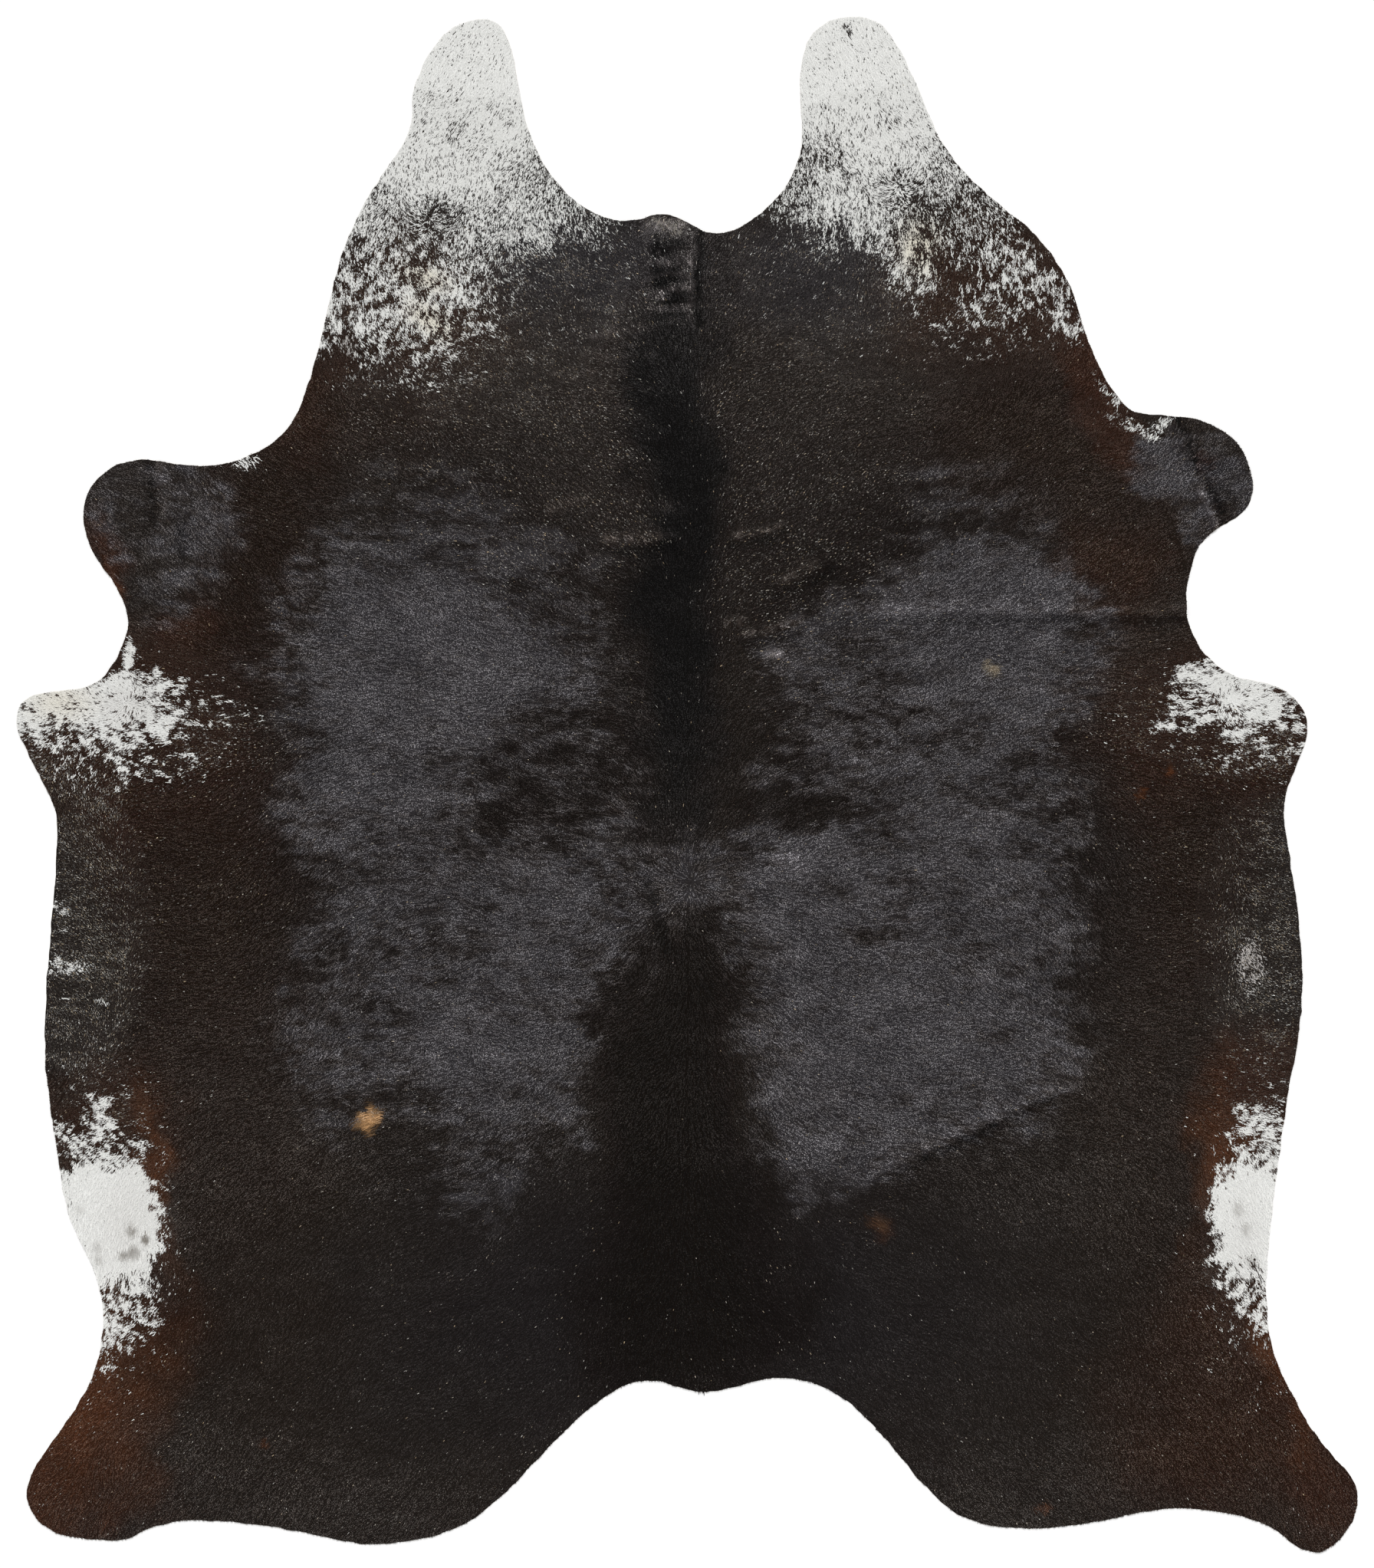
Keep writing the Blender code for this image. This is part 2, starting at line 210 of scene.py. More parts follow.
# The share of white hair, from 0 to 1.
WHITE = (
    (600, 250, 260, 190, 10, 0.5, 0.045), (607, 130, 130, 150, 0, 0.2, 0.985),
    (598, 225, 150, 75, 0, 0.8, 0.86), (745, 262, 60, 48, 42, 0.6, 0.32),
    (700, 240, 44, 40, 42, 0.7, 0.55), (672, 285, 50, 34, 20, 0.7, 0.60),
    (605, 305, 50, 30, 0, 0.7, 0.58), (520, 305, 100, 40, -8, 0.6, 0.38),
    (485, 268, 40, 26, -30, 0.7, 0.62), (560, 280, 15, 10, 0, 0.8, 0.30),
    (470, 345, 54, 40, 0, 0.7, 0.42), (545, 350, 40, 34, 0, 0.7, 0.30), (600, 362, 46, 34, 0, 0.7, 0.54),
    (655, 360, 26, 40, 0, 0.7, 0.24), (470, 405, 66, 44, 10, 0.5, 0.45),
    (545, 403, 54, 34, 0, 0.6, 0.50), (618, 420, 28, 30, 0, 0.8, 0.18), (535, 455, 66, 22, 0, 0.7, 0.26),
    (445, 452, 40, 20, 10, 0.8, 0.25), (520, 490, 70, 18, 0, 0.9, 0.18),
    (1180, 270, 260, 190, -10, 0.5, 0.025), (1122, 120, 110, 140, 0, 0.2, 0.985),
    (1135, 212, 110, 66, 0, 0.8, 0.85), (1060, 235, 36, 50, 20, 0.7, 0.43),
    (1120, 262, 70, 36, 0, 0.7, 0.68), (1200, 254, 44, 30, 25, 0.7, 0.44),
    (1236, 226, 26, 34, -30, 0.7, 0.62), (1130, 300, 46, 26, 10, 0.7, 0.58),
    (1078, 312, 30, 18, 0, 0.8, 0.25), (1192, 325, 36, 44, -12, 0.7, 0.45),
    (1188, 375, 20, 26, 0, 0.8, 0.30), (1250, 295, 54, 40, 20, 0.7, 0.27),
    (1290, 275, 34, 24, 40, 0.7, 0.38), (1300, 338, 56, 26, 30, 0.7, 0.33),
    (1360, 372, 50, 26, 35, 0.7, 0.41), (1287, 388, 36, 26, 0, 0.7, 0.42),
    (1340, 414, 50, 22, 10, 0.8, 0.20), (1392, 424, 36, 14, 10, 0.8, 0.30),
    (1255, 420, 34, 18, 0, 0.8, 0.18), (1300, 448, 60, 14, 0, 0.9, 0.08),
    (170, 945, 150, 80, 0, 0.5, 0.04), (85, 926, 76, 42, 0, 0.4, 0.88),
    (168, 922, 62, 40, 10, 0.4, 0.90), (163, 862, 9, 26, 0, 0.5, 0.93),
    (220, 910, 34, 20, 25, 0.5, 0.52), (100, 964, 70, 18, 8, 0.6, 0.42),
    (165, 1000, 90, 26, 0, 0.9, 0.17), (186, 960, 50, 16, -15, 0.6, 0.62),
    (160, 998, 9, 16, 0, 0.6, 0.75), (290, 930, 46, 24, 0, 0.9, 0.14),
    (1600, 935, 150, 80, 0, 0.5, 0.04), (1578, 895, 42, 27, 20, 0.35, 0.73),
    (1640, 912, 60, 26, 18, 0.35, 0.90), (1690, 935, 24, 22, 0, 0.5, 0.48),
    (1556, 920, 34, 22, 30, 0.6, 0.44), (1612, 946, 32, 19, 30, 0.6, 0.58),
    (1523, 945, 10, 6, 20, 0.6, 0.90), (1640, 985, 60, 16, 0, 0.8, 0.12),
    (1690, 968, 26, 16, 0, 0.8, 0.22), (140, 1600, 90, 220, 0, 0.5, 0.06),
    (134, 1600, 74, 98, -4, 0.15, 1.0), (112, 1492, 56, 24, 12, 0.6, 0.34),
    (132, 1452, 12, 26, -35, 0.6, 0.55), (155, 1712, 40, 46, 10, 0.6, 0.58),
    (130, 1770, 20, 24, 0, 0.8, 0.17), (1640, 1600, 80, 210, 0, 0.5, 0.06),
    (1634, 1596, 54, 98, 3, 0.2, 1.0), (1645, 1485, 36, 40, 0, 0.6, 0.62),
    (1640, 1690, 26, 40, -20, 0.6, 0.52), (1450, 520, 26, 9, 62, 0.7, 0.36),
    (1478, 561, 30, 9, 20, 0.7, 0.34), (1516, 553, 18, 10, -10, 0.7, 0.45),
    (1633, 1255, 15, 33, 0, 0.5, 0.37), (1627, 1240, 7, 7, 30, 0.6, 0.75),
    (1680, 1300, 18, 30, -20, 0.9, 0.05), (84, 1264, 26, 10, 0, 0.9, 0.34),
    (85, 1298, 11, 4, 0, 0.8, 0.38), (78, 1186, 14, 6, 0, 0.8, 0.36), (82, 1222, 14, 4, 0, 0.8, 0.20),
    (137, 1305, 8, 5, 0, 0.8, 0.42), (324, 603, 15, 9, 0, 0.8, 0.42), (298, 606, 18, 5, 0, 0.8, 0.16),
    (868, 294, 24, 10, 0, 0.5, 0.33), (597, 170, 12, 12, 0, 0.8, 0.66), (1106, 40, 6, 4, 30, 0.8, 0.03),
)

# How far the white and dark hair keep together in clumps, from 0, single locks, to 1.
CLUMPS = (
    (560, 250, 200, 90, 0, 0.5, 0.25), (700, 280, 110, 90, 0, 0.6, 0.20),
    (520, 410, 150, 80, 0, 0.6, 0.75), (1130, 240, 130, 80, 0, 0.6, 0.30),
    (1330, 380, 110, 80, 20, 0.6, 0.85), (1250, 280, 70, 44, 20, 0.6, 0.30),
    (868, 295, 34, 20, 0, 0.4, 0.0), (1640, 1230, 60, 120, 0, 0.4, 0.20),
    (150, 930, 190, 110, 0, 0.4, 1.0), (1610, 930, 170, 100, 0, 0.4, 1.0),
    (140, 1600, 100, 240, 0, 0.4, 1.0), (1640, 1600, 90, 230, 0, 0.4, 1.0),
)
CLUMPS_ELSEWHERE = 0.55

# Where the locks are small and close, because white and dark hair lie mixed.
CLOSE = (
    (575, 330, 250, 220, 10, 0.2, 1.0), (1210, 310, 260, 210, 0, 0.2, 1.0),
    (607, 70, 80, 56, 0, 0.2, 0.0), (1122, 64, 74, 54, 0, 0.2, 0.0), (1106, 40, 9, 8, 0, 0.2, 1.0),
    (140, 925, 180, 100, 0, 0.2, 1.0), (1605, 925, 150, 90, 0, 0.2, 1.0),
    (140, 1600, 96, 210, 0, 0.2, 1.0), (145, 1600, 46, 80, 0, 0.2, 0.0),
    (1640, 1590, 76, 190, 0, 0.2, 1.0), (1636, 1600, 36, 70, 0, 0.2, 0.0),
    (1460, 545, 70, 40, 0, 0.2, 1.0), (1650, 1220, 95, 190, 0, 0.2, 1.0),
    (96, 1200, 105, 195, 0, 0.2, 1.0), (868, 298, 30, 18, 0, 0.2, 1.0),
)

# Tints of the white hair: colour, then the oval.
WHITE_TINTS = (
    ("cream", 553, 362, 30, 15, 18, 0.9, 0.5), ("cream", 562, 418, 34, 16, 35, 0.9, 0.5),
    ("cream", 1200, 322, 26, 34, 0, 0.9, 0.6), ("cream", 78, 915, 36, 22, 0, 0.9, 0.35),
    ("grey", 453, 452, 14, 18, 0, 0.6, 0.8), ("grey", 1632, 1255, 22, 40, 0, 0.5, 0.9),
    ("grey", 165, 1600, 34, 66, 0, 1.0, 0.22), ("grey", 166, 922, 30, 20, 0, 1.0, 0.25),
    ("grey", 1625, 1620, 20, 60, 0, 1.0, 0.15), ("dusk", 868, 295, 34, 20, 0, 0.4, 1.0),
    ("dusk", 171, 1606, 6, 7, 0, 0.6, 0.8), ("dusk", 189, 1617, 5, 7, 0, 0.5, 1.0),
    ("dusk", 162, 1638, 6, 6, 0, 0.6, 0.8), ("dusk", 174, 1634, 7, 8, 0, 0.6, 0.8),
    ("dusk", 126, 1627, 5, 6, 0, 0.8, 0.4), ("dusk", 128, 1643, 4, 5, 0, 0.8, 0.6),
    ("dusk", 104, 1577, 5, 5, 0, 0.8, 0.3), ("dusk", 1615, 1578, 5, 8, 0, 0.8, 0.5),
    ("dusk", 1625, 1603, 5, 7, 0, 0.8, 0.45), ("dusk", 1632, 1645, 6, 7, 0, 0.8, 0.5),
)

# The share of single light hairs in the dark coat, from 0 to 1.
FLECKS = (
    (850, 1740, 740, 250, 0, 0.3, 0.024), (140, 1880, 140, 140, 0, 0.8, 0.050),
    (95, 1850, 45, 90, 20, 0.8, 0.12), (1650, 1880, 140, 140, 0, 0.8, 0.035),
    (720, 400, 170, 100, 0, 0.8, 0.32), (690, 600, 170, 140, 20, 0.8, 0.38),
    (1030, 640, 150, 200, -20, 0.8, 0.34), (1080, 380, 150, 80, 0, 0.8, 0.20),
    (240, 1080, 110, 160, 0, 0.8, 0.07), (1540, 1080, 90, 160, 0, 0.8, 0.09),
    (1143, 1597, 18, 12, 25, 0.8, 0.12), (300, 960, 70, 50, 0, 0.8, 0.26),
    (1490, 930, 60, 50, 0, 0.8, 0.20), (110, 1020, 90, 40, 0, 0.8, 0.32),
    (1650, 990, 80, 36, 0, 0.8, 0.32), (92, 1190, 74, 200, 0, 1.0, 0.60),
    (1670, 1220, 54, 170, 0, 1.0, 0.45), (885, 700, 50, 440, 0, 0.6, 0.016),
    (893, 1138, 18, 44, 0, 0.8, 0.12), (1672, 1800, 30, 90, -24, 0.8, 0.10),
    (880, 1450, 100, 270, 0, 0.4, 0.0025),
)
FLECKS_ELSEWHERE = 0.030

# The share of small dark specks in the white coat, from 0 to 1.
SPECKS = (
    (607, 130, 100, 120, 0, 0.5, 0.22), (1122, 100, 80, 110, 0, 0.5, 0.19),
    (607, 196, 130, 70, 0, 0.6, 0.11), (1122, 186, 110, 70, 0, 0.6, 0.09),
    (1055, 150, 16, 90, 8, 0.6, 0.20), (110, 910, 110, 80, 0, 0.6, 0.08),
    (1610, 922, 110, 70, 0, 0.6, 0.06), (150, 1600, 60, 110, 0, 0.5, 0.004),
    (1632, 1590, 60, 110, 0, 0.5, 0.004),
)
SPECKS_ELSEWHERE = 0.06

# Small marks: colour, then the oval.
MARKS = (
    ("tan", 477, 1457, 9, 11, 0, 0.5, 0.55), ("straw", 1296, 874, 6, 6, 0, 0.6, 0.20),
    ("rust", 1146, 1598, 16, 10, 25, 0.9, 0.30), ("tan", 1142, 1594, 12, 8, 25, 0.9, 0.035),
    ("rust", 1520, 1005, 5, 5, 0, 0.9, 0.7), ("rust", 1484, 1032, 6, 5, 0, 0.9, 0.8),
    ("rust", 345, 1884, 5, 5, 0, 0.9, 0.7), ("rust", 1366, 1967, 5, 5, 0, 0.9, 0.7),
)

# How far the painted glints differ from hair to hair, beside the usual.
GRIT = (
    (850, 1740, 780, 250, 0, 0.3, 0.32), (720, 380, 150, 100, 0, 0.8, 1.30),
    (1060, 370, 150, 90, 0, 0.8, 1.20), (860, 640, 380, 180, 0, 0.6, 1.25),
)

# Rows of light hairs across the withers: x, y, half length, half height, turn, softness, share.
STREAKS = (
    (835, 701, 50, 5, -3, 0.8, 0.65), (987, 692, 34, 5, -12, 0.8, 0.60),
    (1046, 750, 36, 8, -26, 0.8, 0.45), (813, 439, 44, 4, 8, 0.8, 0.45), (818, 457, 26, 3, 0, 0.8, 0.35),
    (790, 490, 54, 4, 3, 0.8, 0.40), (820, 507, 40, 3, 0, 0.8, 0.35), (960, 810, 18, 3, 0, 0.8, 0.35),
    (1006, 818, 38, 4, -10, 0.8, 0.35), (868, 298, 24, 12, 0, 0.9, 0.4),
)

# Painted light and shade of soft creases, as if lit from the neck end: x0, y0, x1, y1, half width
# and how much lighter or darker.
PAINTED_CREASE_SHADING = (
    (852, 294, 886, 293, 9, 1.1), (857, 317, 884, 317, 5, -1.0), (858, 328, 872, 328, 6, -1.3),
    (874, 330, 903, 328, 5, 0.5), (856, 340, 903, 342, 4, 1.1), (856, 350, 886, 350, 4, -1.1),
    (860, 357, 903, 357, 4, 1.0), (858, 367, 872, 367, 6, -2.0), (876, 366, 888, 368, 4, -1.0),
    (862, 380, 902, 374, 5, 1.3), (870, 391, 888, 391, 6, -1.1), (846, 401, 902, 401, 3, 1.1),
    (852, 410, 880, 412, 4, -0.5), (872, 417, 902, 413, 4, 0.5), (856, 310, 856, 372, 3, -0.7),
    (909, 355, 912, 426, 4, -1.3), (903, 300, 904, 425, 3, 0.5), (911, 300, 913, 345, 6, -0.7),
    (1536, 548, 1562, 602, 5, -1.0), (1562, 602, 1572, 622, 5, -0.8), (1574, 604, 1590, 612, 6, -0.6),
    (1580, 635, 1598, 686, 5, -1.2), (1566, 640, 1588, 688, 4, 0.7), (1602, 640, 1606, 650, 6, -0.5),
    (1020, 1118, 1045, 1126, 9, 0.6), (800, 1052, 812, 1052, 9, 0.5), (846, 1108, 860, 1118, 7, 0.4),
    (1547, 795, 1100, 795, 6, 0.35), (1547, 809, 1100, 809, 6, -0.45), (197, 604, 198, 686, 6, -0.6),
    (211, 604, 212, 686, 5, 0.45), (237, 678, 236, 722, 4, -0.6), (1378, 1419, 1297, 1456, 6, 0.25),
    (1297, 1456, 1146, 1524, 6, 0.3), (1378, 1431, 1297, 1468, 4, -0.35),
    (1297, 1468, 1206, 1509, 4, -0.7), (1206, 1509, 1146, 1536, 4, -0.3),
    (846, 1152, 870, 1230, 7, -0.5), (858, 1148, 882, 1226, 6, 0.4), (792, 703, 882, 700, 5, 1.0),
    (792, 718, 882, 714, 6, -0.5), (716, 663, 768, 646, 5, 0.7), (860, 663, 890, 660, 5, 0.6),
    (955, 700, 1018, 686, 4, 1.0), (955, 713, 1019, 699, 6, -0.5), (1022, 758, 1062, 738, 7, 0.8),
    (1015, 775, 1085, 746, 6, -0.5), (948, 811, 972, 808, 3, 1.2), (973, 825, 1045, 812, 5, 1.0),
    (973, 838, 1045, 825, 6, -0.4), (1000, 857, 1018, 852, 3, 1.0), (774, 438, 855, 430, 4, 0.5),
    (758, 464, 855, 466, 4, 0.4), (725, 488, 823, 489, 5, 0.4), (774, 508, 860, 507, 4, 0.4),
)

# Where the hair lies another way: an oval, and the angle from straight down, positive to the right.
TURNS = (
    (868, 297, 34, 17, 0, 0.3, 0), (852, 299, 14, 16, 0, 0.6, -32), (886, 299, 14, 16, 0, 0.6, 32),
    (140, 1200, 40, 180, 0, 0.7, 35), (85, 1200, 40, 190, 0, 0.7, 72), (1640, 1220, 60, 160, 0, 0.7, 62),
    (1600, 1200, 20, 120, 0, 0.7, -20), (1634, 1255, 18, 40, 0, 0.7, 38),
)

# Whorls, from which the hair grows outwards: x, y and reach in pixels.
WHORLS = (
    (162, 915, 42), (560, 278, 50), (1172, 240, 50), (905, 1150, 60), (1610, 915, 42),
)
WHORL_PULL = 0.6  # how far the hair turns to point away from a whorl
WHORL_CORE = 0.4  # times its reach: nearer than this the pull is full
WHORL_END = 1.2  # and further away there is none

# The growth of the coat: rows down the photograph. Its columns are the angles from straight down,
# turning outwards, at GROWTH_COLUMNS pixels from the spine. 0 is down, 90 is out and 180 is up.
SPINE = 897
GROWTH_COLUMNS = (0, 80, 250, 520, 760)
GROWTH = (
    (120, 180, 180, 208, 208, 208), (300, 180, 150, 185, 190, 190), (450, 180, 116, 125, 155, 155),
    (600, 180, 122, 122, 125, 125), (750, 175, 118, 115, 124, 135), (900, 175, 118, 103, 100, 100),
    (1020, 175, 122, 101, 55, 90), (1110, 165, 112, 102, 50, 110), (1190, 15, 70, 95, 45, 110),
    (1300, 10, 58, 88, 50, 110), (1400, 8, 49, 84, 54, 90), (1490, 8, 45, 65, 56, 50),
    (1590, 5, 32, 55, 45, 20), (1700, 0, 22, 55, 44, 25), (1900, 0, 45, 46, 36, 30),
)

# How long the hair is, beside the usual: x, y, half width, half height, turn, softness, factor.
LENGTHS = (
    (885, 600, 60, 380, 0, 0.7, 1.2), (912, 1814, 10, 8, 0, 0.3, 1.6),
)

# How far the coat reaches past the edge, in millimetres, where more than elsewhere.
OVERHANGS = (
    (912, 1817, 9, 8, 0, 0.3, 7.5), (846, 1802, 14, 6, 0, 0.5, 1.3), (1045, 1801, 16, 6, 0, 0.5, 1.3),
    (1605, 590, 46, 60, 0, 0.5, 0.9), (583, 38, 6, 6, 0, 0.3, 1.6), (632, 24, 6, 6, 0, 0.3, 1.6),
    (674, 80, 6, 6, 0, 0.3, 1.6), (1198, 108, 14, 50, -10, 0.5, 1.2), (1515, 1982, 140, 14, 0, 0.5, 0.9),
    (1738, 2015, 26, 12, 0, 0.5, 1.2), (85, 2002, 30, 9, 0, 0.5, 1.2),
)
OVERHANG_ELSEWHERE = 0.15

# --- Noise that moves and breaks up what the tables paint. A layer of noise is its weight, its
# pitch across and down in pixels, its turn in degrees and its seed.

# What pushes the places, so that the borders of the ovals wander: pitch, two turns and a seed.
PUSHES = ((90, 10, 40, 21), (26, 30, 70, 23), (9, 20, 65, 25))
LOOSE = (10, 6, 2)  # how many pixels each push moves the washes and the sheen
TIGHT = (0, 3, 2.5)  # how many pixels each push moves the white patches and the marks
NEAR = (0, 1, 0)  # how many pixels each push moves the painted crease shading

EDGE_WAVER = ((0.45 * MM, 14, 14, 20, 5), (0.25 * MM, 5, 5, 60, 6))
EDGE_INSET = 0.3 * MM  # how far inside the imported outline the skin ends
GROWTH_WAVER = ((8, 70, 70, 15, 11), (5, 22, 22, 50, 12))
MOTTLE = ((0.45, 60, 24, -4, 31), (0.52, 24, 9, 5, 32), (0.70, 9, 4, 0, 33))
# CLOUD: how the glints of the painted sheen swell and fade where the sheen is full.
CLOUD = ((0.09, 40, 26, 0, 35), (0.08, 15, 9, 0, 36))
# Noise that breaks up the painted light and shade of the creases.
CREASE_SHADING_GRAIN = ((0.5, 4, 2.5, 0, 41),)
PATCHES = ((0.35, 7, 7, 25, 51), (0.2, 18, 18, 55, 52))

# Noise combed along the hair: across and along it in pixels, and its seed.
PATCH_COMB = (3.4, 8.5, 71)
GRAIN_COMB = (2.4, 5.0, 61)

# The painted sheen: how its share becomes its level, from 0 to 1.
SHEEN_GAIN = 2.6
SHEEN_MOTTLE = 0.75  # how much the mottle moves the level where there is little sheen
SHEEN_CALM = 0.32  # how much less it does where the sheen is full
SHEEN_RANGE = (-1.7, 1.5)
SHEEN_START = (0.02, 0.3)  # shares between which the sheen comes up from nothing
GLINT_MOTTLE = 0.13
FLECK_MOTTLE = 0.5
CREASE_SHADING_IN_COLOUR = 0.6  # how much of a crease's painted light and shade the hair's own colour takes
GLINT_HUE = 0.35  # how much of the hair's own hue its painted glints have

# The white hair: how patches, grain and each lock's luck are mixed.
PATCH_WEIGHT = 0.91  # of the combed noise in the patches
GRAIN_WEIGHT = 0.45
CLUMPED = 0.75  # how much of a lock's own luck full clumping takes away
BELL = 1.702  # makes the curve of chances close to that of a bell
LEAN_WEIGHT = 1.4  # how much the patches move the share that shows in the undercoat

# --- Small helpers.


def to_light(colour):
    """A colour from 0 to 255 as the light that it sends back, by the usual display curve.

    The curve is a straight line near black, and a power of 2.4 above.
    """
    share = np.asarray(colour, float) / 255
    return np.where(share <= 0.04045, share / 12.92, ((share + 0.055) / 1.055) ** 2.4)


def plain_light(setting):
    """A colour setting, from 0 to 1 on the display, as light that covers fully."""
    return tuple(to_light(np.array(setting) * 255)) + (1.0,)


def eased(value, low, high):
    """0 below low, 1 above high, and an S-curve between them: three squares less two cubes."""
    share = np.clip((value - low) / (high - low), 0, 1)
    return share * share * (3 - 2 * share)


def varied(random, count, spread, low, high):
    """Random factors about 1, bell-shaped with that spread, and kept between low and high."""
    return np.clip(1 + spread * random.standard_normal(count), low, high)


def in_picture(points):
    """Where points on the hide, in metres, show in the photograph, in pixels."""
    return np.column_stack((points[:, 0] / PIXEL + PICTURE_X, PICTURE_Y - points[:, 1] / PIXEL))


def on_hide(x, y):
    """Where a pixel of the photograph lies on the hide, in metres."""
    return np.array(((x - PICTURE_X) * PIXEL, (PICTURE_Y - y) * PIXEL))


def oval(places, x, y, half_width, half_height, turn, softness):
    """1 inside a turned oval, 0 outside it, eased over its soft rim."""
    angle = math.radians(turn)
    across, down = places[:, 0] - x, places[:, 1] - y
    along = across * math.cos(angle) + down * math.sin(angle)
    aside = down * math.cos(angle) - across * math.sin(angle)
    radius = np.hypot(along / half_width, aside / half_height)
    return 1 - eased(radius, 1 - softness, 1 + softness)


def painted(places, rows, ground):
    """The ground with each row's oval painted over it in turn, in its value."""
    value = np.full(len(places), float(ground))
    for *shape, amount in rows:
        value += (amount - value) * oval(places, *shape)
    return value


def tinted(places, rows, colours, colour):
    """The colour with each row's oval painted over it in turn, in the row's own colour."""
    for name, *shape, strength in rows:
        share = (oval(places, *shape) * strength)[:, None]
        colour = colour + (to_light(colours[name]) - colour) * share
    return colour


WORD = 0xFFFFFFFF  # the largest whole number of 32 bits
COLUMN_FACTOR = 374761393
ROW_FACTOR = 668265263
SEED_FACTOR = 362437
MIXING_FACTOR = 1274126177


def hashed(column, row, seed):
    """A repeatable number from 0 to 1 for each whole place: its bits are mixed by products and shifts."""
    bits = column.astype(np.int64) * COLUMN_FACTOR + row.astype(np.int64) * ROW_FACTOR
    bits = ((bits + seed * SEED_FACTOR) & WORD).astype(np.uint64)
    bits = ((bits ^ (bits >> np.uint64(13))) * np.uint64(MIXING_FACTOR)) & np.uint64(WORD)
    bits = bits ^ (bits >> np.uint64(16))
    return bits.astype(float) / WORD


NOISE_SPREAD = 0.19  # the spread of eased random corners about their mean


def noise(places, pitch_across, pitch_down, turn, seed):
    """Smooth noise about 0 with a spread of 1: random corners of a turned lattice, eased between."""
    angle = math.radians(turn)
    across = (places[:, 0] * math.cos(angle) + places[:, 1] * math.sin(angle)) / pitch_across
    down = (places[:, 1] * math.cos(angle) - places[:, 0] * math.sin(angle)) / pitch_down
    column, row = np.floor(across), np.floor(down)
    right, below = eased(across - column, 0, 1), eased(down - row, 0, 1)
    top = hashed(column, row, seed) * (1 - right) + hashed(column + 1, row, seed) * right
    foot = hashed(column, row + 1, seed) * (1 - right) + hashed(column + 1, row + 1, seed) * right
    return (top * (1 - below) + foot * below - 0.5) / NOISE_SPREAD


def layered(places, layers, ground=0.0):
    """The ground with layers of noise added to it, each times its weight."""
    total = ground
    for weight, *layer in layers:
        total = total + weight * noise(places, *layer)
    return total


def pushed(places, amounts):
    """The places, moved by each of the pushes times its amount: two noises, across and down."""
    total = places
    for amount, (pitch, turn_across, turn_down, seed) in zip(amounts, PUSHES):
        if amount:
            across = noise(places, pitch, pitch, turn_across, seed)
            down = noise(places, pitch, pitch, turn_down, seed + 1)
            total = total + amount * np.column_stack((across, down))
    return total


COMB_WAYS = 6  # directions in which the grain is worked out
LEAST_WEIGHT = 0.01  # keeps a sum of weights from being nothing


def combed_noise(places, turn, across, along, seed):
    """Noise stretched along the hair: of six fixed directions, the two nearest the hair's are mixed."""
    total = np.zeros(len(places))
    weight_sum = np.zeros(len(places))
    step = 180 / COMB_WAYS
    for number in range(COMB_WAYS):
        off = (turn - number * step + 90) % 180 - 90
        weight = np.clip(1 - np.abs(off) / step, 0, 1)
        near = weight > 0
        total[near] += weight[near] * noise(places[near], across, along, number * step, seed + number)
        weight_sum += weight**2
    return total / np.sqrt(np.maximum(weight_sum, LEAST_WEIGHT))


# --- The shape of the hide.


def upper_side(mesh):
    """The points of a mesh, each once, and the triangles among them that face up."""
    places = np.zeros(len(mesh.vertices) * 3, np.float32)
    mesh.vertices.foreach_get("co", places)
    corners = np.zeros(len(mesh.loops), np.int32)
    mesh.loops.foreach_get("vertex_index", corners)
    rounded = np.round(places.reshape(-1, 3).astype(float), 6)
    points, merged = np.unique(rounded, axis=0, return_inverse=True)
    faces = merged.reshape(-1)[corners].reshape(-1, 3)
    a, b, c = (points[faces[:, k]] for k in range(3))
    normal = np.cross(b - a, c - a)
    return points, faces[normal[:, 2] > 0.5 * np.linalg.norm(normal, axis=1)]


def outline_of(node):
    """The edge of a node's upper side as one loop of points, anticlockwise from above.

    An edge that only one upward face has lies on the outline. Each of its points leads to the
    next, and doubling those steps again and again counts how far each point is from the first.
    """
    points, upward = upper_side(node.data)
    count = len(points)
    start, end = upward.ravel(), np.roll(upward, -1, axis=1).ravel()
    rim = ~np.isin(start * count + end, end * count + start)
    start, end = start[rim], end[rim]
    following = np.arange(count)
    following[start] = end
    first = start[0]
    following[first], second = first, following[first]
    steps = (following != np.arange(count)).astype(int)
    for _ in range(int(math.log2(count)) + 1):
        steps = steps + steps[following]
        following = following[following]
    on_rim = np.zeros(count, bool)
    on_rim[start] = True
    order = np.argsort(-steps[on_rim])
    loop = points[np.flatnonzero(on_rim)[order]][:, :2]
    if not np.allclose(loop[0], points[second][:2]):
        raise RuntimeError("the outline of the packed hide isn't one loop")
    return loop


def refined(loop, parts):
    """The closed loop with parts points to each of its steps, on a Catmull-Rom curve."""
    before, after, later = np.roll(loop, 1, 0), np.roll(loop, -1, 0), np.roll(loop, -2, 0)
    share = (np.arange(parts) / parts)[None, :, None]
    p, q, r, s = before[:, None], loop[:, None], after[:, None], later[:, None]
    curve = (
        2 * q
        + (r - p) * share
        + (2 * p - 5 * q + 4 * r - s) * share**2
        + (3 * q - p - 3 * r + s) * share**3
    ) / 2
    return curve.reshape(-1, 2)


def outward(loop):
    """The unit direction out of an anticlockwise loop at each of its points."""
    along = np.roll(loop, -1, 0) - np.roll(loop, 1, 0)
    side = np.column_stack((along[:, 1], -along[:, 0]))
    return side / np.linalg.norm(side, axis=1)[:, None]


SLICES = 40  # parts in which the points are taken, to spare memory


